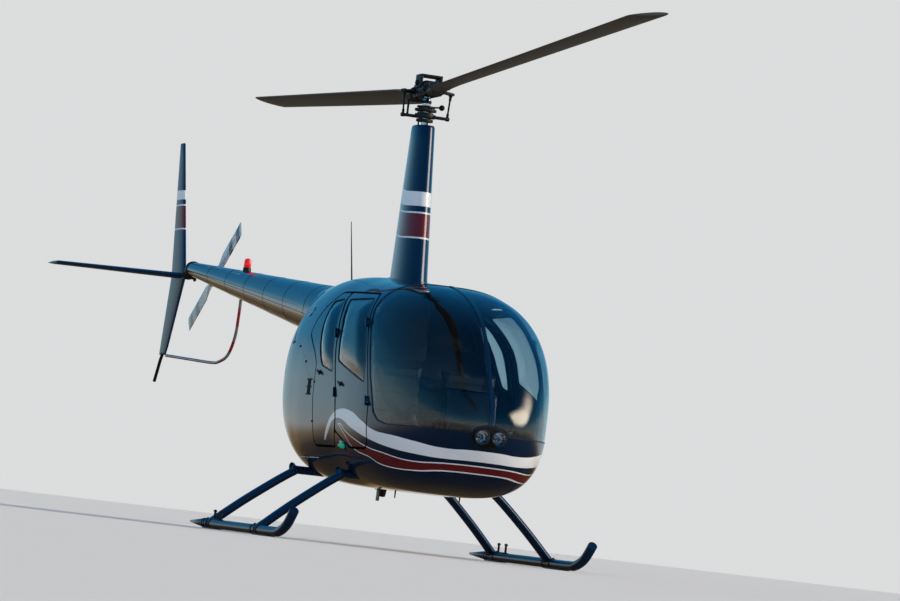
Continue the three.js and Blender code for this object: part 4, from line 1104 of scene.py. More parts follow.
# Columns: radius, chord, thickness
TAIL_BLADE = [(.092, .060, .036), (.160, .080, .026), (.230, .130, .017), (.728, .130, .013),
              (.737, .118, .005)]
tail_paint, shader = plain_material("tail_blade_bands", TAIL_PALE, 0.35)
clear_coat(shader, 0.08)
tree = tail_paint.node_tree
arm = add_node(tree, "VectorMath", i0=object_place(tree), i1=(0.0, TAIL_AXIS.y, TAIL_AXIS.z))
arm.operation = "SUBTRACT"
flat_arm = add_node(tree, "VectorMath", i0=arm.outputs[0], i1=(0.0, 1.0, 1.0))
flat_arm.operation = "MULTIPLY"
length = add_node(tree, "VectorMath", i0=flat_arm.outputs[0])
length.operation = "LENGTH"
length = length.outputs["Value"]
outer = math_node(tree, "GREATER_THAN", length, TAIL_BANDS_FROM)
bands = math_node(tree, "GREATER_THAN", math_node(tree, "PINGPONG", length, 2 * TAIL_BAND), TAIL_BAND)
tree.links.new(mixed_color(tree, math_node(tree, "MULTIPLY", outer, bands), TAIL_PALE, TAIL_DARK),
               shader.inputs["Base Color"])


def turned_about(piece, middle, turn, axis):
    """Turns a piece made round the origin, and moves it to its axis."""
    piece.data.transform(Matrix.Translation(middle) @ Matrix.Rotation(turn, 4, axis) @ piece.matrix_basis)
    piece.matrix_basis = Matrix.Identity(4)
    return piece


def tail_blade_point(row, turn):
    """A point of the tail blade's section at one of its rows."""
    radius, chord, thick = row
    along, across = wing_part(turn)
    return Vector((TAIL_DISC_X + 0.5 * thick * across, chord * (0.5 * along + 0.1), radius))


yoke = [bar((.166, 0, 0), (.255, 0, 0), .018, 32, rim=.002),
        bar((.196, 0, 0), (.250, 0, 0), .030, 32, .026, .002),
        bevelled_block((.040, .050, .170), (TAIL_DISC_X, 0, 0), .005)]
for z in (-.070, .070):
    yoke.append(bar((TAIL_DISC_X, -.034, z), (TAIL_DISC_X, .034, z), .013, 24, rim=.001))
    for way in (1, -1):
        yoke += hex_bolt((TAIL_DISC_X, way * .034, z), (0, way, 0), .011, .007)
yoke += hex_bolt((.255, 0, 0), (1, 0, 0), .014, .010)
yoke = turned_about(as_one(yoke), TAIL_AXIS, TAIL_TURN, "X")
finished(yoke, "tail_rotor_yoke", "bare_metal", cast_metal, "tail_rotor")
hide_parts("tail_rotor_hub")
for name, turn in (("up", 0), ("down", math.pi)):
    blade = laid_rows(TAIL_BLADE, 6, 40, tail_blade_point)
    turned_about(blade, Vector(), turn, "X")
    turned_about(blade, TAIL_AXIS, TAIL_TURN, "X")
    finished(blade, f"tail_blade_{name}_skin", "blade_paint", tail_paint, "tail_rotor")
    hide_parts("tail_blade_" + name)


# The main rotor: a steel shaft, a teetering head of two dark cheek plates bolted round a block, and two
# bonded metal blades on hinged grips. A swashplate below drives them through two thin links.
MAIN_TURN = math.radians(-92.46)
MAST_FOOT = spot(0, 0, 0)
BLADE_PLANE_Z = 3.135
CONING, TEETER = 2.31, 0.42
# Columns: radius, chord, thickness, pitch in degrees
BLADE = [(.176, .090, .076, 15), (.215, .094, .078, 15), (.330, .100, .074, 15), (.430, .150, .058, 15),
         (.540, .210, .044, 15), (.640, .254, .034, 15), (2.800, .254, .031, 13), (4.985, .254, .028, 10),
         (5.020, .236, .022, 10), (5.030, .203, .012, 10)]
blade_metal = surface("blade_paint_grey", (0.060, 0.052, 0.045), 0.42, (26.0, 0.12, 0.001))


def head_piece(pieces, name, slot, material):
    """Joins pieces made in the rotor's own directions, and turns them to where the blades stand."""
    piece = turned_about(as_one(pieces), MAST_FOOT, MAIN_TURN, "Z")
    return finished(piece, name, slot, material, "main_rotor")


def blade_point(lift):
    """Lays a main blade's sections along a line that rises by this much for each metre out."""
    def place(row, turn):
        radius, chord, thick, pitch = row
        along, across = wing_part(turn)
        edge, rise, tilt = chord * (0.5 * along + 0.2), 0.5 * thick * across, math.radians(pitch)
        return Vector((radius, -edge * math.cos(tilt) - rise * math.sin(tilt),
                       BLADE_PLANE_Z + radius * lift + rise * math.cos(tilt) - edge * math.sin(tilt)))
    return place


def bolt_pair(x, y, z, *sizes):
    """A bolt's head on each side of the rotor head, this far out."""
    return [piece for side in (-1, 1) for piece in hex_bolt((x, side * y, z), (0, side, 0), *sizes)]


shaft = [bar((0, 0, 2.878), (0, 0, 3.215), .021, 40),
         bar((0, 0, 3.040), (0, 0, 3.100), .030, 32, .026, .002)]
shaft = head_piece(shaft, "rotor_shaft_tube", "bare_metal", bright_metal)
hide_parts("rotor_shaft")
plates = [bar((0, 0, 3.005), (0, 0, 3.022), .075, 56, rim=.002),
          bar((0, 0, 3.030), (0, 0, 3.042), .062, 56, rim=.002)]
for turn in turns(6):
    x, y = math.cos(turn), math.sin(turn)
    plates += hex_bolt((.060 * x, .060 * y, 3.022), (0, 0, 1), .005, .005)
    plates.append(bar((.050 * x, .050 * y, 3.000), (.050 * x, .050 * y, 3.032), .004, 12))
plates.append(bar((0, .020, 3.036), (-.004, .104, 3.045), .006, 16))
head_piece(plates, "rotor_droop_plates", "dark_metal", cast_metal)
weight = ball((-.004, .113, 3.045), 32, 20, (.020, .020, .020))
head_piece([weight], "rotor_balance_weight", "dark_metal", black_metal)

head = []
for side in (-1, 1):
    cheek = bevelled_block((.350, .020, .088), (0, side * .048, 3.151), .008)
    for x in (.075, -.075):
        cut(cheek, bar((x, side * .08, 3.170), (x, side * .02, 3.170), .014, 24))
    head += [cheek, bevelled_block((.140, .018, .080), (0, side * .069, 3.205), .005)]
head.append(bevelled_block((.110, .078, .074), (0, 0, 3.178), .006))
head.append(bevelled_block((.140, .156, .016), (0, 0, 3.247), .004))
for x in (-.055, .055):
    for y in (-.062, .062):
        head += hex_bolt((x, y, 3.2545), (0, 0, 1), .008, .0005, washer=False)
head.append(bar((0, -.095, 3.195), (0, .095, 3.195), .015, 28, rim=.002))
head += bolt_pair(0, .078, 3.195, .021, .010)
for x in (-.145, .145):
    head.append(bar((x, -.078, 3.149), (x, .078, 3.149), .018, 28, rim=.002))
    head += bolt_pair(x, .058, 3.149, .025, .010)
for x in (-.112, -.035, .035, .112):
    head += bolt_pair(x, .058, 3.122, .006, .005)
head = head_piece(head, "rotor_head_block", "dark_metal", cast_metal)
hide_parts("rotor_hub")

LINK_FOOT, LINK_TOP = Vector((.046, .145, 2.975)), Vector((.072, .145, 3.124))
LINK_RADIUS, LINK_NUT_HALF, LINK_BALL = .0062, .016, .012
HORN_SWEEP = math.radians(48)
for name, turn, tilt in (("front", 0.0, -TEETER), ("rear", math.pi, TEETER)):
    lift = math.tan(math.radians(CONING + tilt))
    blade = laid_rows(BLADE, 8, 56, blade_point(lift))
    turned_about(blade, Vector(), turn, "Z")
    blade = head_piece([blade], f"main_blade_{name}_skin", "blade_paint", blade_metal)
    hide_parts("main_blade_" + name)
    grip = []
    for x, radius in ((.196, .050), (.212, .046), (.318, .047)):
        ends = [(end, 0, BLADE_PLANE_Z + end * lift) for end in (x, x + .010)]
        grip.append(bar(*ends, radius, 40, rim=.002))
    for x in (.36, .40, .45, .51):
        for up in (-1, 1):
            foot = (x, .008, BLADE_PLANE_Z + x * lift + up * (.030 if x < .42 else .022))
            grip += hex_bolt(foot, (0, up * .25, up), .008, .007)
    grip.append(bevelled_block((.046, .215, .018), (.146, .082, 3.138), .004, HORN_SWEEP))
    grip.append(bar(LINK_TOP, LINK_TOP + Vector((0, 0, .026)), .014, 24, rim=.002))
    link = [bar(LINK_FOOT, LINK_TOP, LINK_RADIUS, 20)]
    for share in (.10, .90):
        middle = LINK_FOOT.lerp(LINK_TOP, share)
        half = (LINK_TOP - LINK_FOOT).normalized() * LINK_NUT_HALF
        link.append(bar(middle - half, middle + half, .0095, 6))
    for end in (LINK_FOOT, LINK_TOP):
        link.append(ball(end, 24, 14, (LINK_BALL, LINK_BALL, LINK_BALL)))
    grip, link = as_one(grip), as_one(link)
    for piece in (grip, link):
        turned_about(piece, Vector(), turn, "Z")
    head_piece([grip], f"main_blade_{name}_grip", "dark_metal", cast_metal)
    link = head_piece([link], f"pitch_link_{name}_rod", "dark_metal", black_metal)
    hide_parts("pitch_link_" + name)

swash = [ring((0, 0, 2.973), .072, .024, .026, "Z", 56, .003),
         ring((0, 0, 2.990), .056, .030, .012, "Z", 48, .002)]
for side in (-1, 1):
    x, y = side * .044, side * .148
    swash.append(bevelled_block((.040, .120, .020), (x, side * .100, 2.969), .005))
    swash.append(bar((x, y, 2.955), (x, y, 2.981), .013, 24, rim=.002))
    swash += hex_bolt((x, y, 2.981), (0, 0, 1), .007, .005)
swash.append(bevelled_block((.030, .070, .016), (-.015, -.098, 2.968), .004))
swash = head_piece(swash, "swashplate_rings", "dark_metal", cast_metal)
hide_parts("swashplate")
scissors = [bar((-.018, -.122, 2.968), (-.018, -.122, 3.075), .0075, 20, rim=.001),
            bar((-.018, -.122, 3.070), (0, -.026, 3.070), .0075, 20, rim=.001),
            bar((-.030, -.122, 2.968), (-.006, -.122, 2.968), .010, 20, rim=.001),
            bar((-.030, -.122, 3.070), (-.006, -.122, 3.070), .011, 20, rim=.001),
            ring((0, 0, 3.070), .034, .0212, .020, "Z", 40, .002)]
head_piece(scissors, "rotor_scissors", "dark_metal", black_metal)
static_ring = [ring((0, 0, 2.942), .058, .027, .018, "Z", 48, .003)]
for turn in turns(3, 40):
    x, y = .040 * math.cos(turn), .040 * math.sin(turn)
    static_ring.append(bar((x, y, 2.885), (x, y, 2.938), .0055, 16))
static_ring = turned_about(as_one(static_ring), MAST_FOOT, 0, "Z")
finished(static_ring, "swashplate_fixed_ring", "dark_metal", cast_metal)


# The landing gear: two bent steel cross tubes in streamlined fairings, and two long aluminium skids with
# turned-up toes, tapered heels and wear shoes, all painted dark blue.
HALF_TRACK, SKID_RADIUS, SKID_Z = 1.030, 0.032, 0.036
SKID_TOP = SKID_Z + SKID_RADIUS
# Columns: name, y at the belly, y at the skid
CROSS_TUBES = [("front_cross_tube", -.797, -.681), ("rear_cross_tube", .324, .515)]
SKID_PATH = [(.655, SKID_Z), (.300, SKID_Z), (-.500, SKID_Z), (-1.080, SKID_Z), (-1.230, SKID_Z + .010),
             (-1.375, SKID_Z + .058), (-1.500, .185)]
gear_paint = banded_paint("gear_paint_navy", [], gloss=0.45)
for name, belly_y, skid_y in CROSS_TUBES:
    run = skid_y - belly_y
    half_path = [(HALF_TRACK, skid_y, SKID_Z + .008), (1.010, skid_y - .04 * run, .062),
                 (.800, belly_y + .52 * run, .250), (.545, belly_y, .452), (.460, belly_y, .470)]
    path = [spot(-x, y, z) for x, y, z in half_path] + [spot(*place) for place in reversed(half_path)]
    tube = swept(path, 12, 40, .052, .028, (0, 1, 0))
    for x in (-HALF_TRACK, HALF_TRACK):
        cut(tube, bar(spot(x, skid_y - .3, SKID_Z), spot(x, skid_y + .14, SKID_Z), SKID_RADIUS, 40))
    finished(tube, name + "_fairing", "gear_paint", gear_paint)
    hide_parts(name)
for name, side, _, _ in SIDES:
    x = side * HALF_TRACK
    runner = swept([spot(x, y, z) for y, z in SKID_PATH], 10, 40, SKID_RADIUS, SKID_RADIUS, (1, 0, 0))
    heel = bar(spot(x, .654, SKID_Z), spot(x, 1.035, SKID_Z), SKID_RADIUS, 40, .007, .002)
    runner = finished(as_one([runner, heel]), f"skid_{name}_tube", "gear_paint", gear_paint)
    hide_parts("skid_" + name)
    fittings = [ring(spot(x, .640, SKID_Z), SKID_RADIUS + .003, SKID_RADIUS - .003, .030, rim=.001)]
    for _, _, skid_y in CROSS_TUBES:
        for y in (skid_y - .070, skid_y + .070):
            clamp = ring(spot(x, y, SKID_Z), SKID_RADIUS + .0035, SKID_RADIUS - .003, .022, rim=.001)
            fittings += [clamp, *hex_bolt(spot(x, y, SKID_TOP + .003), (0, 0, 1), .007, .006)]
    fittings.append(bevelled_block((.030, .190, .006), spot(x, .335, SKID_TOP + .001), .002))
    for y in (.260, .415):
        fittings += bars([((x, y, SKID_Z + .030), (x, y, SKID_Z + .098), .008, 20, None, .001),
                          ((x - .012, y, SKID_Z + .088), (x + .012, y, SKID_Z + .088), .005, 16)])
    finished(as_one(fittings), f"skid_{name}_fittings", "dark_metal", black_metal)
    shoes = [bevelled_block((.044, rear_y - front_y, .010), spot(x, (front_y + rear_y) / 2, .005), .002)
             for front_y, rear_y in ((-1.040, -.640), (.280, .640))]
    finished(as_one(shoes), f"skid_{name}_shoes", "bare_metal", cast_metal)


# Lights and the aerial: a red beacon on the boom, a black whip aerial behind the mast, and a position lamp
# low on each side, red to port and green to starboard.
BEACON_Y = 4.120
BEACON_SEAT = boom_centre(BEACON_Y).z + boom_radius(BEACON_Y)
NAV_Y, NAV_Z = -.989, .650


def beacon_bar(low, high, *sizes):
    """A round piece of the beacon, from one height above the boom to another."""
    return bar(spot(0, BEACON_Y, BEACON_SEAT + low), spot(0, BEACON_Y, BEACON_SEAT + high), *sizes)


def lamp_material(name, color, glow):
    """Coloured glass, faintly alight."""
    return surface(name, color, 0.12, (70.0, 0.25, 0.001), coat=0.03, Emission_Color=(*color, 1.0),
                   Emission_Strength=glow)


red_lens = lamp_material("red_lens", (0.62, 0.012, 0.010), 0.5)
green_lens = lamp_material("green_lens", (0.006, 0.26, 0.13), 0.6)
dome = beacon_bar(.022, .098, .030, 40, .025, .017)
finished(dome, "beacon_dome", "lamp_red", red_lens)
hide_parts("beacon")
foot = [beacon_bar(-.012, .022, .033, 40, .031, .003),
        ring(spot(0, BEACON_Y, BEACON_SEAT + .023), .032, .026, .006, "Z", 40, .001)]
finished(as_one(foot), "beacon_foot", "black_plastic", satin_black)
whip = bars([((0, 1.270, 1.822), (0, 1.470, 2.285), .0062, 16, .0026, .0005),
             ((0, 1.266, 1.812), (0, 1.284, 1.858), .016, 24, .009, .002)])
whip.append(bevelled_block((.040, .070, .010), spot(0, 1.270, 1.834), .003))
whip = finished(as_one(whip), "whip_aerial_rod", "black_plastic", satin_black)
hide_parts("whip_aerial")
for (name, side, _, _), lens_paint, slot in zip(SIDES, (red_lens, green_lens), ("lamp_red", "lamp_green")):
    cover = ball(spot(side * .604, NAV_Y, NAV_Z), 36, 20, (.030, .046, .019))
    finished(cover, f"nav_lamp_{name}_cover", slot, lens_paint)
    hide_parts("nav_lamp_" + name)
    base = bevelled_block((.066, .110, .006), (0, 0, 0), .003)
    base.rotation_euler.z = math.pi / 2
    bpy.ops.object.transform_apply(location=True, rotation=True, scale=True)
    base = seat_on_skin(base, NAV_Y, NAV_Z, side, .0005)
    finished(base, f"nav_lamp_{name}_base", "paint_navy", body_paint)


# The cabin: a carpeted floor and seat boxes of sheet metal, a padded wall behind, a thin headlining, and
# the posts between the doors. The gearbox runs in a padded cover in the middle of the rear wall.
FLOOR_Z, DECK_Z = 0.510, 0.5223
DECK_REAR_Y, DECK_HALF = -.2853, .8
POST_HALF = 0.034
BULKHEAD = [(-.285, .440), (-.285, 1.192), (.048, 1.408), (.064, 1.500), (.064, 1.950), (.080, 1.950),
            (.080, 1.496), (.062, 1.396), (-.269, 1.184), (-.269, .440)]
GEARBOX_COVER = [(-.110, 1.290), (-.110, 1.950), (.070, 1.950), (.070, 1.410)]
leather, shader = plain_material("brown_leather", (0.050, 0.036, 0.027), 0.48)
tree = leather.node_tree
place = object_place(tree)
grain = add_node(tree, "TexVoronoi", Vector=place, Scale=420.0).outputs["Distance"]
creases = add_node(tree, "TexNoise", Vector=place, Scale=14.0, Detail=6.0).outputs["Fac"]
bumped(tree, shader, math_node(tree, "MULTIPLY_ADD", creases, 1.6, grain), 0.35, 0.0012)
tree.links.new(mixed_color(tree, creases, (0.040, 0.029, 0.022), (0.062, 0.045, 0.034)),
               shader.inputs["Base Color"])
carpet = surface("grey_carpet", (0.028, 0.027, 0.026), 0.95, (700.0, 0.9, 0.003))
cabin_space = sunk_skin("cabin_space", WALL + 0.0006)


def in_cabin(outline, half_x, width=0.0):
    """A solid of the cabin's inside, cut to an outline seen from the side, its edges rounded."""
    piece = side_block(outline, -half_x, half_x)
    cut(piece, cabin_space, "INTERSECT", last_use=False)
    if width:
        rounded(piece, width, 3, 0.8)
    return piece


deck = in_cabin([(-1.9, FLOOR_Z), (DECK_REAR_Y, FLOOR_Z), (DECK_REAR_Y, FLOOR_Z + .012),
                 (-1.9, FLOOR_Z + .012)], DECK_HALF)
finished(deck, "cabin_floor_deck", "cabin_trim", carpet)
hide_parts("cabin_floor")
wall_pad = in_cabin(BULKHEAD, DECK_HALF, .004)
finished(wall_pad, "cabin_rear_wall", "upholstery", lining)
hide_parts("cabin_bulkhead")
cover = in_cabin(GEARBOX_COVER, .17, .014)
finished(cover, "gearbox_cover_pad", "upholstery", leather)
for name, front, rear in (("front", -1.260, -.840), ("rear", -.700, -.300)):
    box = in_cabin([(front, DECK_Z), (rear, DECK_Z), (rear, .700), (front, .700)], .51, .010)
    finished(box, name + "_seat_box", "cabin_trim", carpet)
    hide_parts(name + "_seat_base")
    lids = []
    for x in (-.262, .262):
        lids.append(bevelled_block((.400, .006, .130), spot(x, front - .001, .610), .002))
        lids += bars([((x - .02, front - .006, .655), (x + .02, front - .006, .655), .005, 16)])
    finished(as_one(lids), name + "_seat_box_lids", "black_plastic", satin_black)
POST_SIDE = [(-.834, .580), (-.766, .580), *[(y + POST_HALF, z) for y, z in DOOR_SPLIT], (-.255, 1.745),
             (-.325, 1.745), *[(y - POST_HALF, z) for y, z in reversed(DOOR_SPLIT)]]
for name, _, low_x, high_x in SIDES:
    post = skin_piece("post", WALL + .0005, .024, POST_SIDE, low_x, high_x)
    finished(post, f"door_post_{name}_skin", "paint_navy", body_paint)
    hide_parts("door_post_" + name)
HEADLINING = [(-1.060, 1.700), (-.300, 1.660), (.040, 1.560), (.040, 2.0), (-1.060, 2.0)]
headlining = skin_piece("headlining", WALL + .0005, .004, HEADLINING)
cut(headlining, in_cabin(grown(GEARBOX_COVER, .002), .172))
finished(headlining, "cabin_headlining", "cabin_trim", lining)


# Four seats, each a cushion and a back of foam under soft leather, swollen as a stuffed cover is, with
# sewn channels, and a lap and shoulder belt.
SEAT_X, SEAT_HALF = 0.262, 0.219
SWELL_LIMIT = 0.022
CHANNEL_DEPTH, CHANNEL_REACH = 0.0045, 0.006
BELT_HALF, BELT_THICK = .0225, .0013
# Columns: name, cushion centre y and z, depth, tilt, back foot y and z, height, lean in degrees
SEATS = [
    ("front", -1.092, .7530, .335, -3.0, -.885, .795, .470, 9.5),
    ("rear", -.555, .7530, .295, -3.0, -.370, .795, .400, 6.5),
]
webbing = surface("belt_webbing", (0.020, 0.020, 0.022), 0.7, (900.0, 0.8, 0.001))


def stuffed(name, size, channels):
    """A pad of this size about the origin, swollen by air inside its cover, then sewn across."""
    pad = bevelled_block(size, (0, 0, 0), min(size) * 0.30)
    finish_modifier(pad, "REMESH", mode="VOXEL", voxel_size=0.006)
    pad.name = name
    rest_places = [vertex.co.copy() for vertex in pad.data.vertices]
    select_only(pad)
    cloth = pad.modifiers.new("cover", "CLOTH")
    cloth.settings.use_pressure = True
    cloth.settings.uniform_pressure_force = 4.0
    cloth.settings.tension_stiffness = 25.0
    cloth.settings.effector_weights.gravity = 0.0
    for frame_number in range(1, 21):
        bpy.context.scene.frame_set(frame_number)
    bpy.ops.object.modifier_apply(modifier="cover")
    bpy.context.scene.frame_set(1)
    for vertex, place in zip(pad.data.vertices, rest_places):
        moved = vertex.co - place
        vertex.co = place + moved * min(1.0, SWELL_LIMIT / max(moved.length, 1e-6))
    finish_modifier(pad, "SUBSURF", levels=1, render_levels=1)
    normals = [vertex.normal.copy() for vertex in pad.data.vertices]
    for vertex, normal in zip(pad.data.vertices, normals):
        nearest = min(abs(vertex.co.y - line) for line in channels)
        vertex.co -= normal * CHANNEL_DEPTH * math.exp(-(nearest / CHANNEL_REACH) ** 2)
    return pad


def laid_on(target, points, way, lift=0.004, samples=16):
    """A path through the points, pushed along a way until it lies on the target."""
    way = Vector(way)
    path = []
    for k in range(samples):
        point = Vector(row_at(points, k * (len(points) - 1) / (samples - 1), False))
        hit, place, _, _ = target.ray_cast(point - way * 0.35, way)
        path.append(place - way * lift if hit else point)
    return path


for name, seat_y, seat_z, depth, tilt, back_y, back_z, height, lean in SEATS:
    wide = 2 * SEAT_HALF - .035
    cushion = stuffed(name + "_cushion", (wide, depth - .03, .070), (-depth * .17, depth * .17))
    back_pad = stuffed(name + "_back", (wide, height - .03, .052), (-height * .26, 0, height * .26))
    lie = Matrix.Translation(spot(0, seat_y, seat_z)) @ Matrix.Rotation(math.radians(tilt), 4, "X")
    stand = (Matrix.Translation(spot(0, back_y, back_z)) @ Matrix.Rotation(math.radians(90 - lean), 4, "X")
             @ Matrix.Translation((0, height / 2, 0)))
    for part, place in ((cushion, lie), (back_pad, stand)):
        part.data.transform(place)
    top_y, top_z = back_y + math.sin(math.radians(lean)) * height, back_z + height
    for side_name, side, _, _ in SIDES:
        pads = []
        for part, kind in ((cushion, "cushion"), (back_pad, "back")):
            pad = copy_of(part, f"{name}_seat_{side_name}_{kind}")
            pad.data.transform(Matrix.Translation((side * SEAT_X, 0, 0)))
            finished(pad, pad.name, "upholstery", leather)
            pads.append(pad)
        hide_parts(f"{name}_seat_{side_name}")
        bpy.context.view_layer.update()
        shoulder = laid_on(pads[1], [spot(side * .400, top_y - .020, top_z - .02),
                                     spot(side * .330, back_y - .02, back_z + .22),
                                     spot(side * .190, back_y - .085, back_z + .07)], (0, 1, 0))
        lap = laid_on(pads[0], [spot(side * .470, back_y - .03, .800), spot(side * .33, back_y - .10, .83),
                                spot(side * .150, back_y - .115, .84)], (0, 0, -1))
        straps = [swept(shoulder, 2, 10, BELT_HALF, BELT_THICK, (1, 0, 0)),
                  swept(lap, 2, 10, BELT_HALF, BELT_THICK, (0, 1, 0))]
        finished(as_one(straps), f"{name}_belt_{side_name}", "rubber", webbing)
        catch = bevelled_block((.034, .060, .016), lap[-1] + Vector((0, 0, .006)), .003)
        finished(catch, f"{name}_buckle_{side_name}", "bare_metal", bright_metal)
    for part in (cushion, back_pad):
        bpy.data.objects.remove(part)


# The instrument pedestal: a moulded black column with a hooded panel of round dials above a radio, and
# the teetering control stick, two collective levers and the pedals, all painted black.
COLUMN = [(-1.800, DECK_Z), (-1.560, DECK_Z), (-1.600, .800), (-1.790, .800)]
PANEL_BOX = [(-1.800, .790), (-1.640, .790), (-1.670, 1.075), (-1.690, 1.088), (-1.780, 1.075)]
DIALS = [(x, z, .040) for z in (.075, -.022) for x in (-.100, 0.0, .100)]
DIALS += [(x, -.098, .022) for x in (-.125, -.062, 0.0, .062, .125)]
dial_face = surface("dial_face", (0.006, 0.006, 0.007), 0.25, (30.0, 0.03, 0.0005), coat=0.02)
dial_white = surface("dial_white", (0.75, 0.75, 0.72), 0.5, (200.0, 0.1, 0.0003))
moulding = []
for outline, half_x, width in ((COLUMN, .105, .014), (PANEL_BOX, .165, .018)):
    piece = side_block(outline, -half_x, half_x)
    rounded(piece, width, 3, 0.8)
    moulding.append(piece)
pedestal = finished(as_one(moulding), "instrument_column", "black_plastic", satin_black)
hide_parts("instrument_pedestal")
hood = bevelled_block((.345, .120, .010), spot(0, -1.690, 1.092), .004)
finished(hood, "instrument_hood", "black_plastic", seal_rubber)


def on_dial(x, z, proud, reach, turn):
    """A place over a dial's face, this far from its middle."""
    return x + reach * math.cos(turn), proud, z + reach * math.sin(turn)


rims, faces, marks = [], [], []
for k, (x, z, radius) in enumerate(DIALS):
    rims.append(ring((x, .0035, z), radius, radius * .86, .009, "Y", 40, .001))
    faces.append(bar((x, -.002, z), (x, .0025, z), radius * .87, 40))
    for turn in turns(12):
        marks.append(bar(on_dial(x, z, .0028, radius * .66, turn), on_dial(x, z, .0028, radius * .80, turn),
                         radius * .018, 6))
    needle_turn = math.radians(200 - 37 * k)
    marks.append(bar((x, .0040, z), on_dial(x, z, .0036, radius * .7, needle_turn), radius * .035, 8, .0002))
radio, knobs = [], []
for z in (.085, .030, -.025):
    radio.append(bevelled_block((.160, .012, .048), (0, 0, z), .002))
    for x in (-.062, .062):
        knobs.append(bar((x, .004, z), (x, .020, z), .008, 24, rim=.001))
panel = Matrix.Translation(spot(0, -1.655, .935)) @ Matrix.Rotation(math.atan2(.030, .285), 4, "X")
radio_panel = Matrix.Translation(spot(0, -1.578, .665)) @ Matrix.Rotation(math.atan2(.040, .278), 4, "X")
for pieces, name, material, place in (
        (rims, "dial_rims", black_metal, panel), (faces, "dial_faces", dial_face, panel),
        (marks, "dial_marks", dial_white, panel), (radio, "radio_faces", dial_face, radio_panel),
        (knobs, "radio_knobs", black_metal, radio_panel)):
    piece = as_one(pieces)
    piece.data.transform(place)
    finished(piece, name, "black_plastic", material)

STICK_Y, STICK_TOP = -1.378, .955
stick = bars([((0, STICK_Y, DECK_Z), (0, STICK_Y, .600), .028, 32, .019, .003),
              ((0, STICK_Y, .590), (0, STICK_Y, STICK_TOP), .0165, 28),
              ((-.300, STICK_Y, STICK_TOP), (.300, STICK_Y, STICK_TOP), .011, 24, None, .002),
              ((0, STICK_Y - .024, STICK_TOP), (0, STICK_Y + .024, STICK_TOP), .026, 28, None, .003)])
for side in (-1, 1):
    stick += bars([((side * .290, STICK_Y, .958), (side * .300, -1.352, .846), .014, 28, .016, .004)])
stick = finished(as_one(stick), "control_stick_bar", "black_plastic", black_metal)
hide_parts("control_stick")
levers = []
for x in (.012, .494):
    levers += bars([((x, -.930, .735), (x, -1.130, .815), .010, 20),
                    ((x, -1.120, .811), (x, -1.235, .857), .016, 24, .015, .004)])
finished(as_one(levers), "collective_levers", "black_plastic", black_metal)
pedals = []
for x in (-.330, -.190, .190, .330):
    pedals += bars([((x, -1.640, DECK_Z), (x, -1.700, .640), .009, 18)])
    pedals.append(bevelled_block((.080, .016, .060), spot(x, -1.702, .650), .005))
finished(as_one(pedals), "rudder_pedals", "dark_metal", cast_metal)


# The engine bay, open behind: a flat engine kept as one block with ribbed heads, a large white fan drum
# on its shaft, and a steel muffler with one tailpipe.
FAN_Z, FAN_RADIUS, FAN_BLADES = .800, .235, 24
MUFFLER_Y, MUFFLER_Z = .525, .505
white_paint = surface("white_paint", (0.66, 0.68, 0.70), 0.4, (40.0, 0.1, 0.001), coat=0.1)
hot_steel, shader = plain_material("heat_stained_steel", (0.22, 0.17, 0.13), 0.38)
shader.inputs["Metallic"].default_value = 1.0
tree = hot_steel.node_tree
stain = add_node(tree, "TexNoise", Vector=object_place(tree), Scale=7.0, Detail=5.0).outputs["Fac"]
tree.links.new(mixed_color(tree, stain, (0.10, 0.085, 0.08), (0.38, 0.26, 0.16)),
               shader.inputs["Base Color"])
block = [bevelled_block((.700, .460, .300), spot(0, .170, .765), .020),
         bevelled_block((.420, .420, .110), spot(0, .180, .575), .020)]
for side in (-1, 1):
    for y in (.085, .255):
        for k in range(9):
            block.append(bevelled_block((.005, .130, .210), spot(side * (.270 + .0095 * k), y, .740), .001))
    block.append(bevelled_block((.060, .050, .090), spot(side * .200, .325, .500), .006))
engine = finished(as_one(block), "engine_block", "bare_metal", cast_metal)
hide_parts("engine")
drum = [bar(spot(0, .4003, FAN_Z), spot(0, .500, FAN_Z), FAN_RADIUS, 80, rim=.006),
        ring(spot(0, .520, FAN_Z), FAN_RADIUS, .150, .040, "Y", 80, .008)]
for turn in turns(FAN_BLADES):
    blade = bevelled_block((.004, .030, .052), (.183, 0, 0), .001)
    drum.append(turned_about(blade, spot(0, .512, FAN_Z), turn, "Y"))
drum.append(bar(spot(0, .500, FAN_Z), spot(0, .530, FAN_Z), .060, 48, .045, .004))
drum = finished(as_one(drum), "fan_drum", "paint_white", white_paint)
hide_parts("fan_scroll")
pipes = bars([((-.260, MUFFLER_Y, MUFFLER_Z), (.260, MUFFLER_Y, MUFFLER_Z), .050, 48, None, .010),
              ((.190, MUFFLER_Y, MUFFLER_Z), (.190, .600, .370), .030, 36)])
cut(pipes[1], bar(spot(.190, .560, .442), spot(.190, .6005, .369), .0275, 36))
for x in (-.150, .150):
    pipes.append(bar(spot(x, .4003, .538), spot(x, MUFFLER_Y, .538), .022, 32))
    pipes.append(ring(spot(x, .440, .538), .027, .021, .012, "Y", 32, .001))
for x in (-.215, .215):
    pipes.append(ring(spot(x, MUFFLER_Y, MUFFLER_Z), .053, .049, .018, "X", 48, .001))
pipes = finished(as_one(pipes), "exhaust_muffler", "bare_metal", hot_steel)
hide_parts("exhaust")


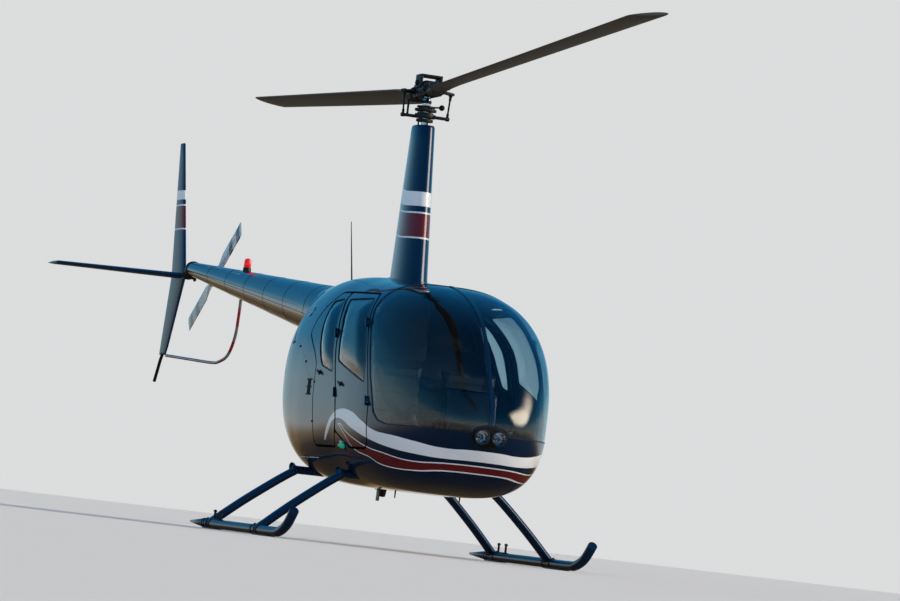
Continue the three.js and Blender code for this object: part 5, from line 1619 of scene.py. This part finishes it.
# Small fittings on the body: cowl latches, a strapped cooling grille and a fuel cap on each side, and
# drains and a blade aerial under the belly.
LATCHES = [(.219, 1.310), (-.030, 1.203), (-.300, 1.065), (.480, 1.340), (-.330, .800)]
GRILLE = (-.185, 1.032)
FUEL_CAP = (.330, 1.560)
grille_black = surface("grille_black", (0.006, 0.006, 0.006), 0.6, (300.0, 0.4, 0.001))
for name, side, _, _ in SIDES:
    latches = []
    for y, z in LATCHES:
        latch = as_one([bevelled_block((.034, .016, .0035), (0, 0, .001), .001),
                        bevelled_block((.014, .010, .0060), (-.006, 0, .002), .001)])
        latches.append(seat_on_skin(latch, y, z, side, -.0003))
    finished(as_one(latches), f"cowl_latches_{name}", "dark_metal", black_metal)
    grid = [bevelled_block((.060, .0050, .003), (0, -.048 + .016 * k, .001), .0006) for k in range(7)]
    grid += [bevelled_block((.0050, .106, .003), (-.024 + .016 * k, 0, .0012), .0006) for k in range(4)]
    grid += [bevelled_block((.106, .0075, .005), (0, .050 * k, .002), .0010) for k in (-1, 0, 1)]
    backing = bevelled_block((.066, .112, .0016), (0, 0, 0), .0006)
    grid = seat_on_skin(as_one([backing, *grid]), *GRILLE, side, .0012)
    finished(grid, f"cooling_grille_{name}", "black_plastic", grille_black)
    cap = as_one([bar((0, 0, -.002), (0, 0, .004), .040, 48, rim=.001),
                  bevelled_block((.050, .010, .006), (0, 0, .005), .002)])
    finished(seat_on_skin(cap, *FUEL_CAP, side), f"fuel_cap_{name}", "bare_metal", bright_metal)
under = bars([((0, -.330, .405), (0, -.330, .352), .006, 18, .004, .001),
              ((.240, -1.000, .410), (.240, -1.000, .368), .006, 18, .004, .001)])
under.append(bevelled_block((.004, .070, .085), spot(0, .060, .365), .0015))
under.append(bevelled_block((.024, .100, .008), spot(0, .060, .402), .003))
finished(as_one(under), "belly_drains_and_aerial", "black_plastic", satin_black)


# The shapes that only served for cutting go.
for tool in (wall, skin, doorway, windshield_hole, rear_hole, cabin_space):
    bpy.data.objects.remove(tool)
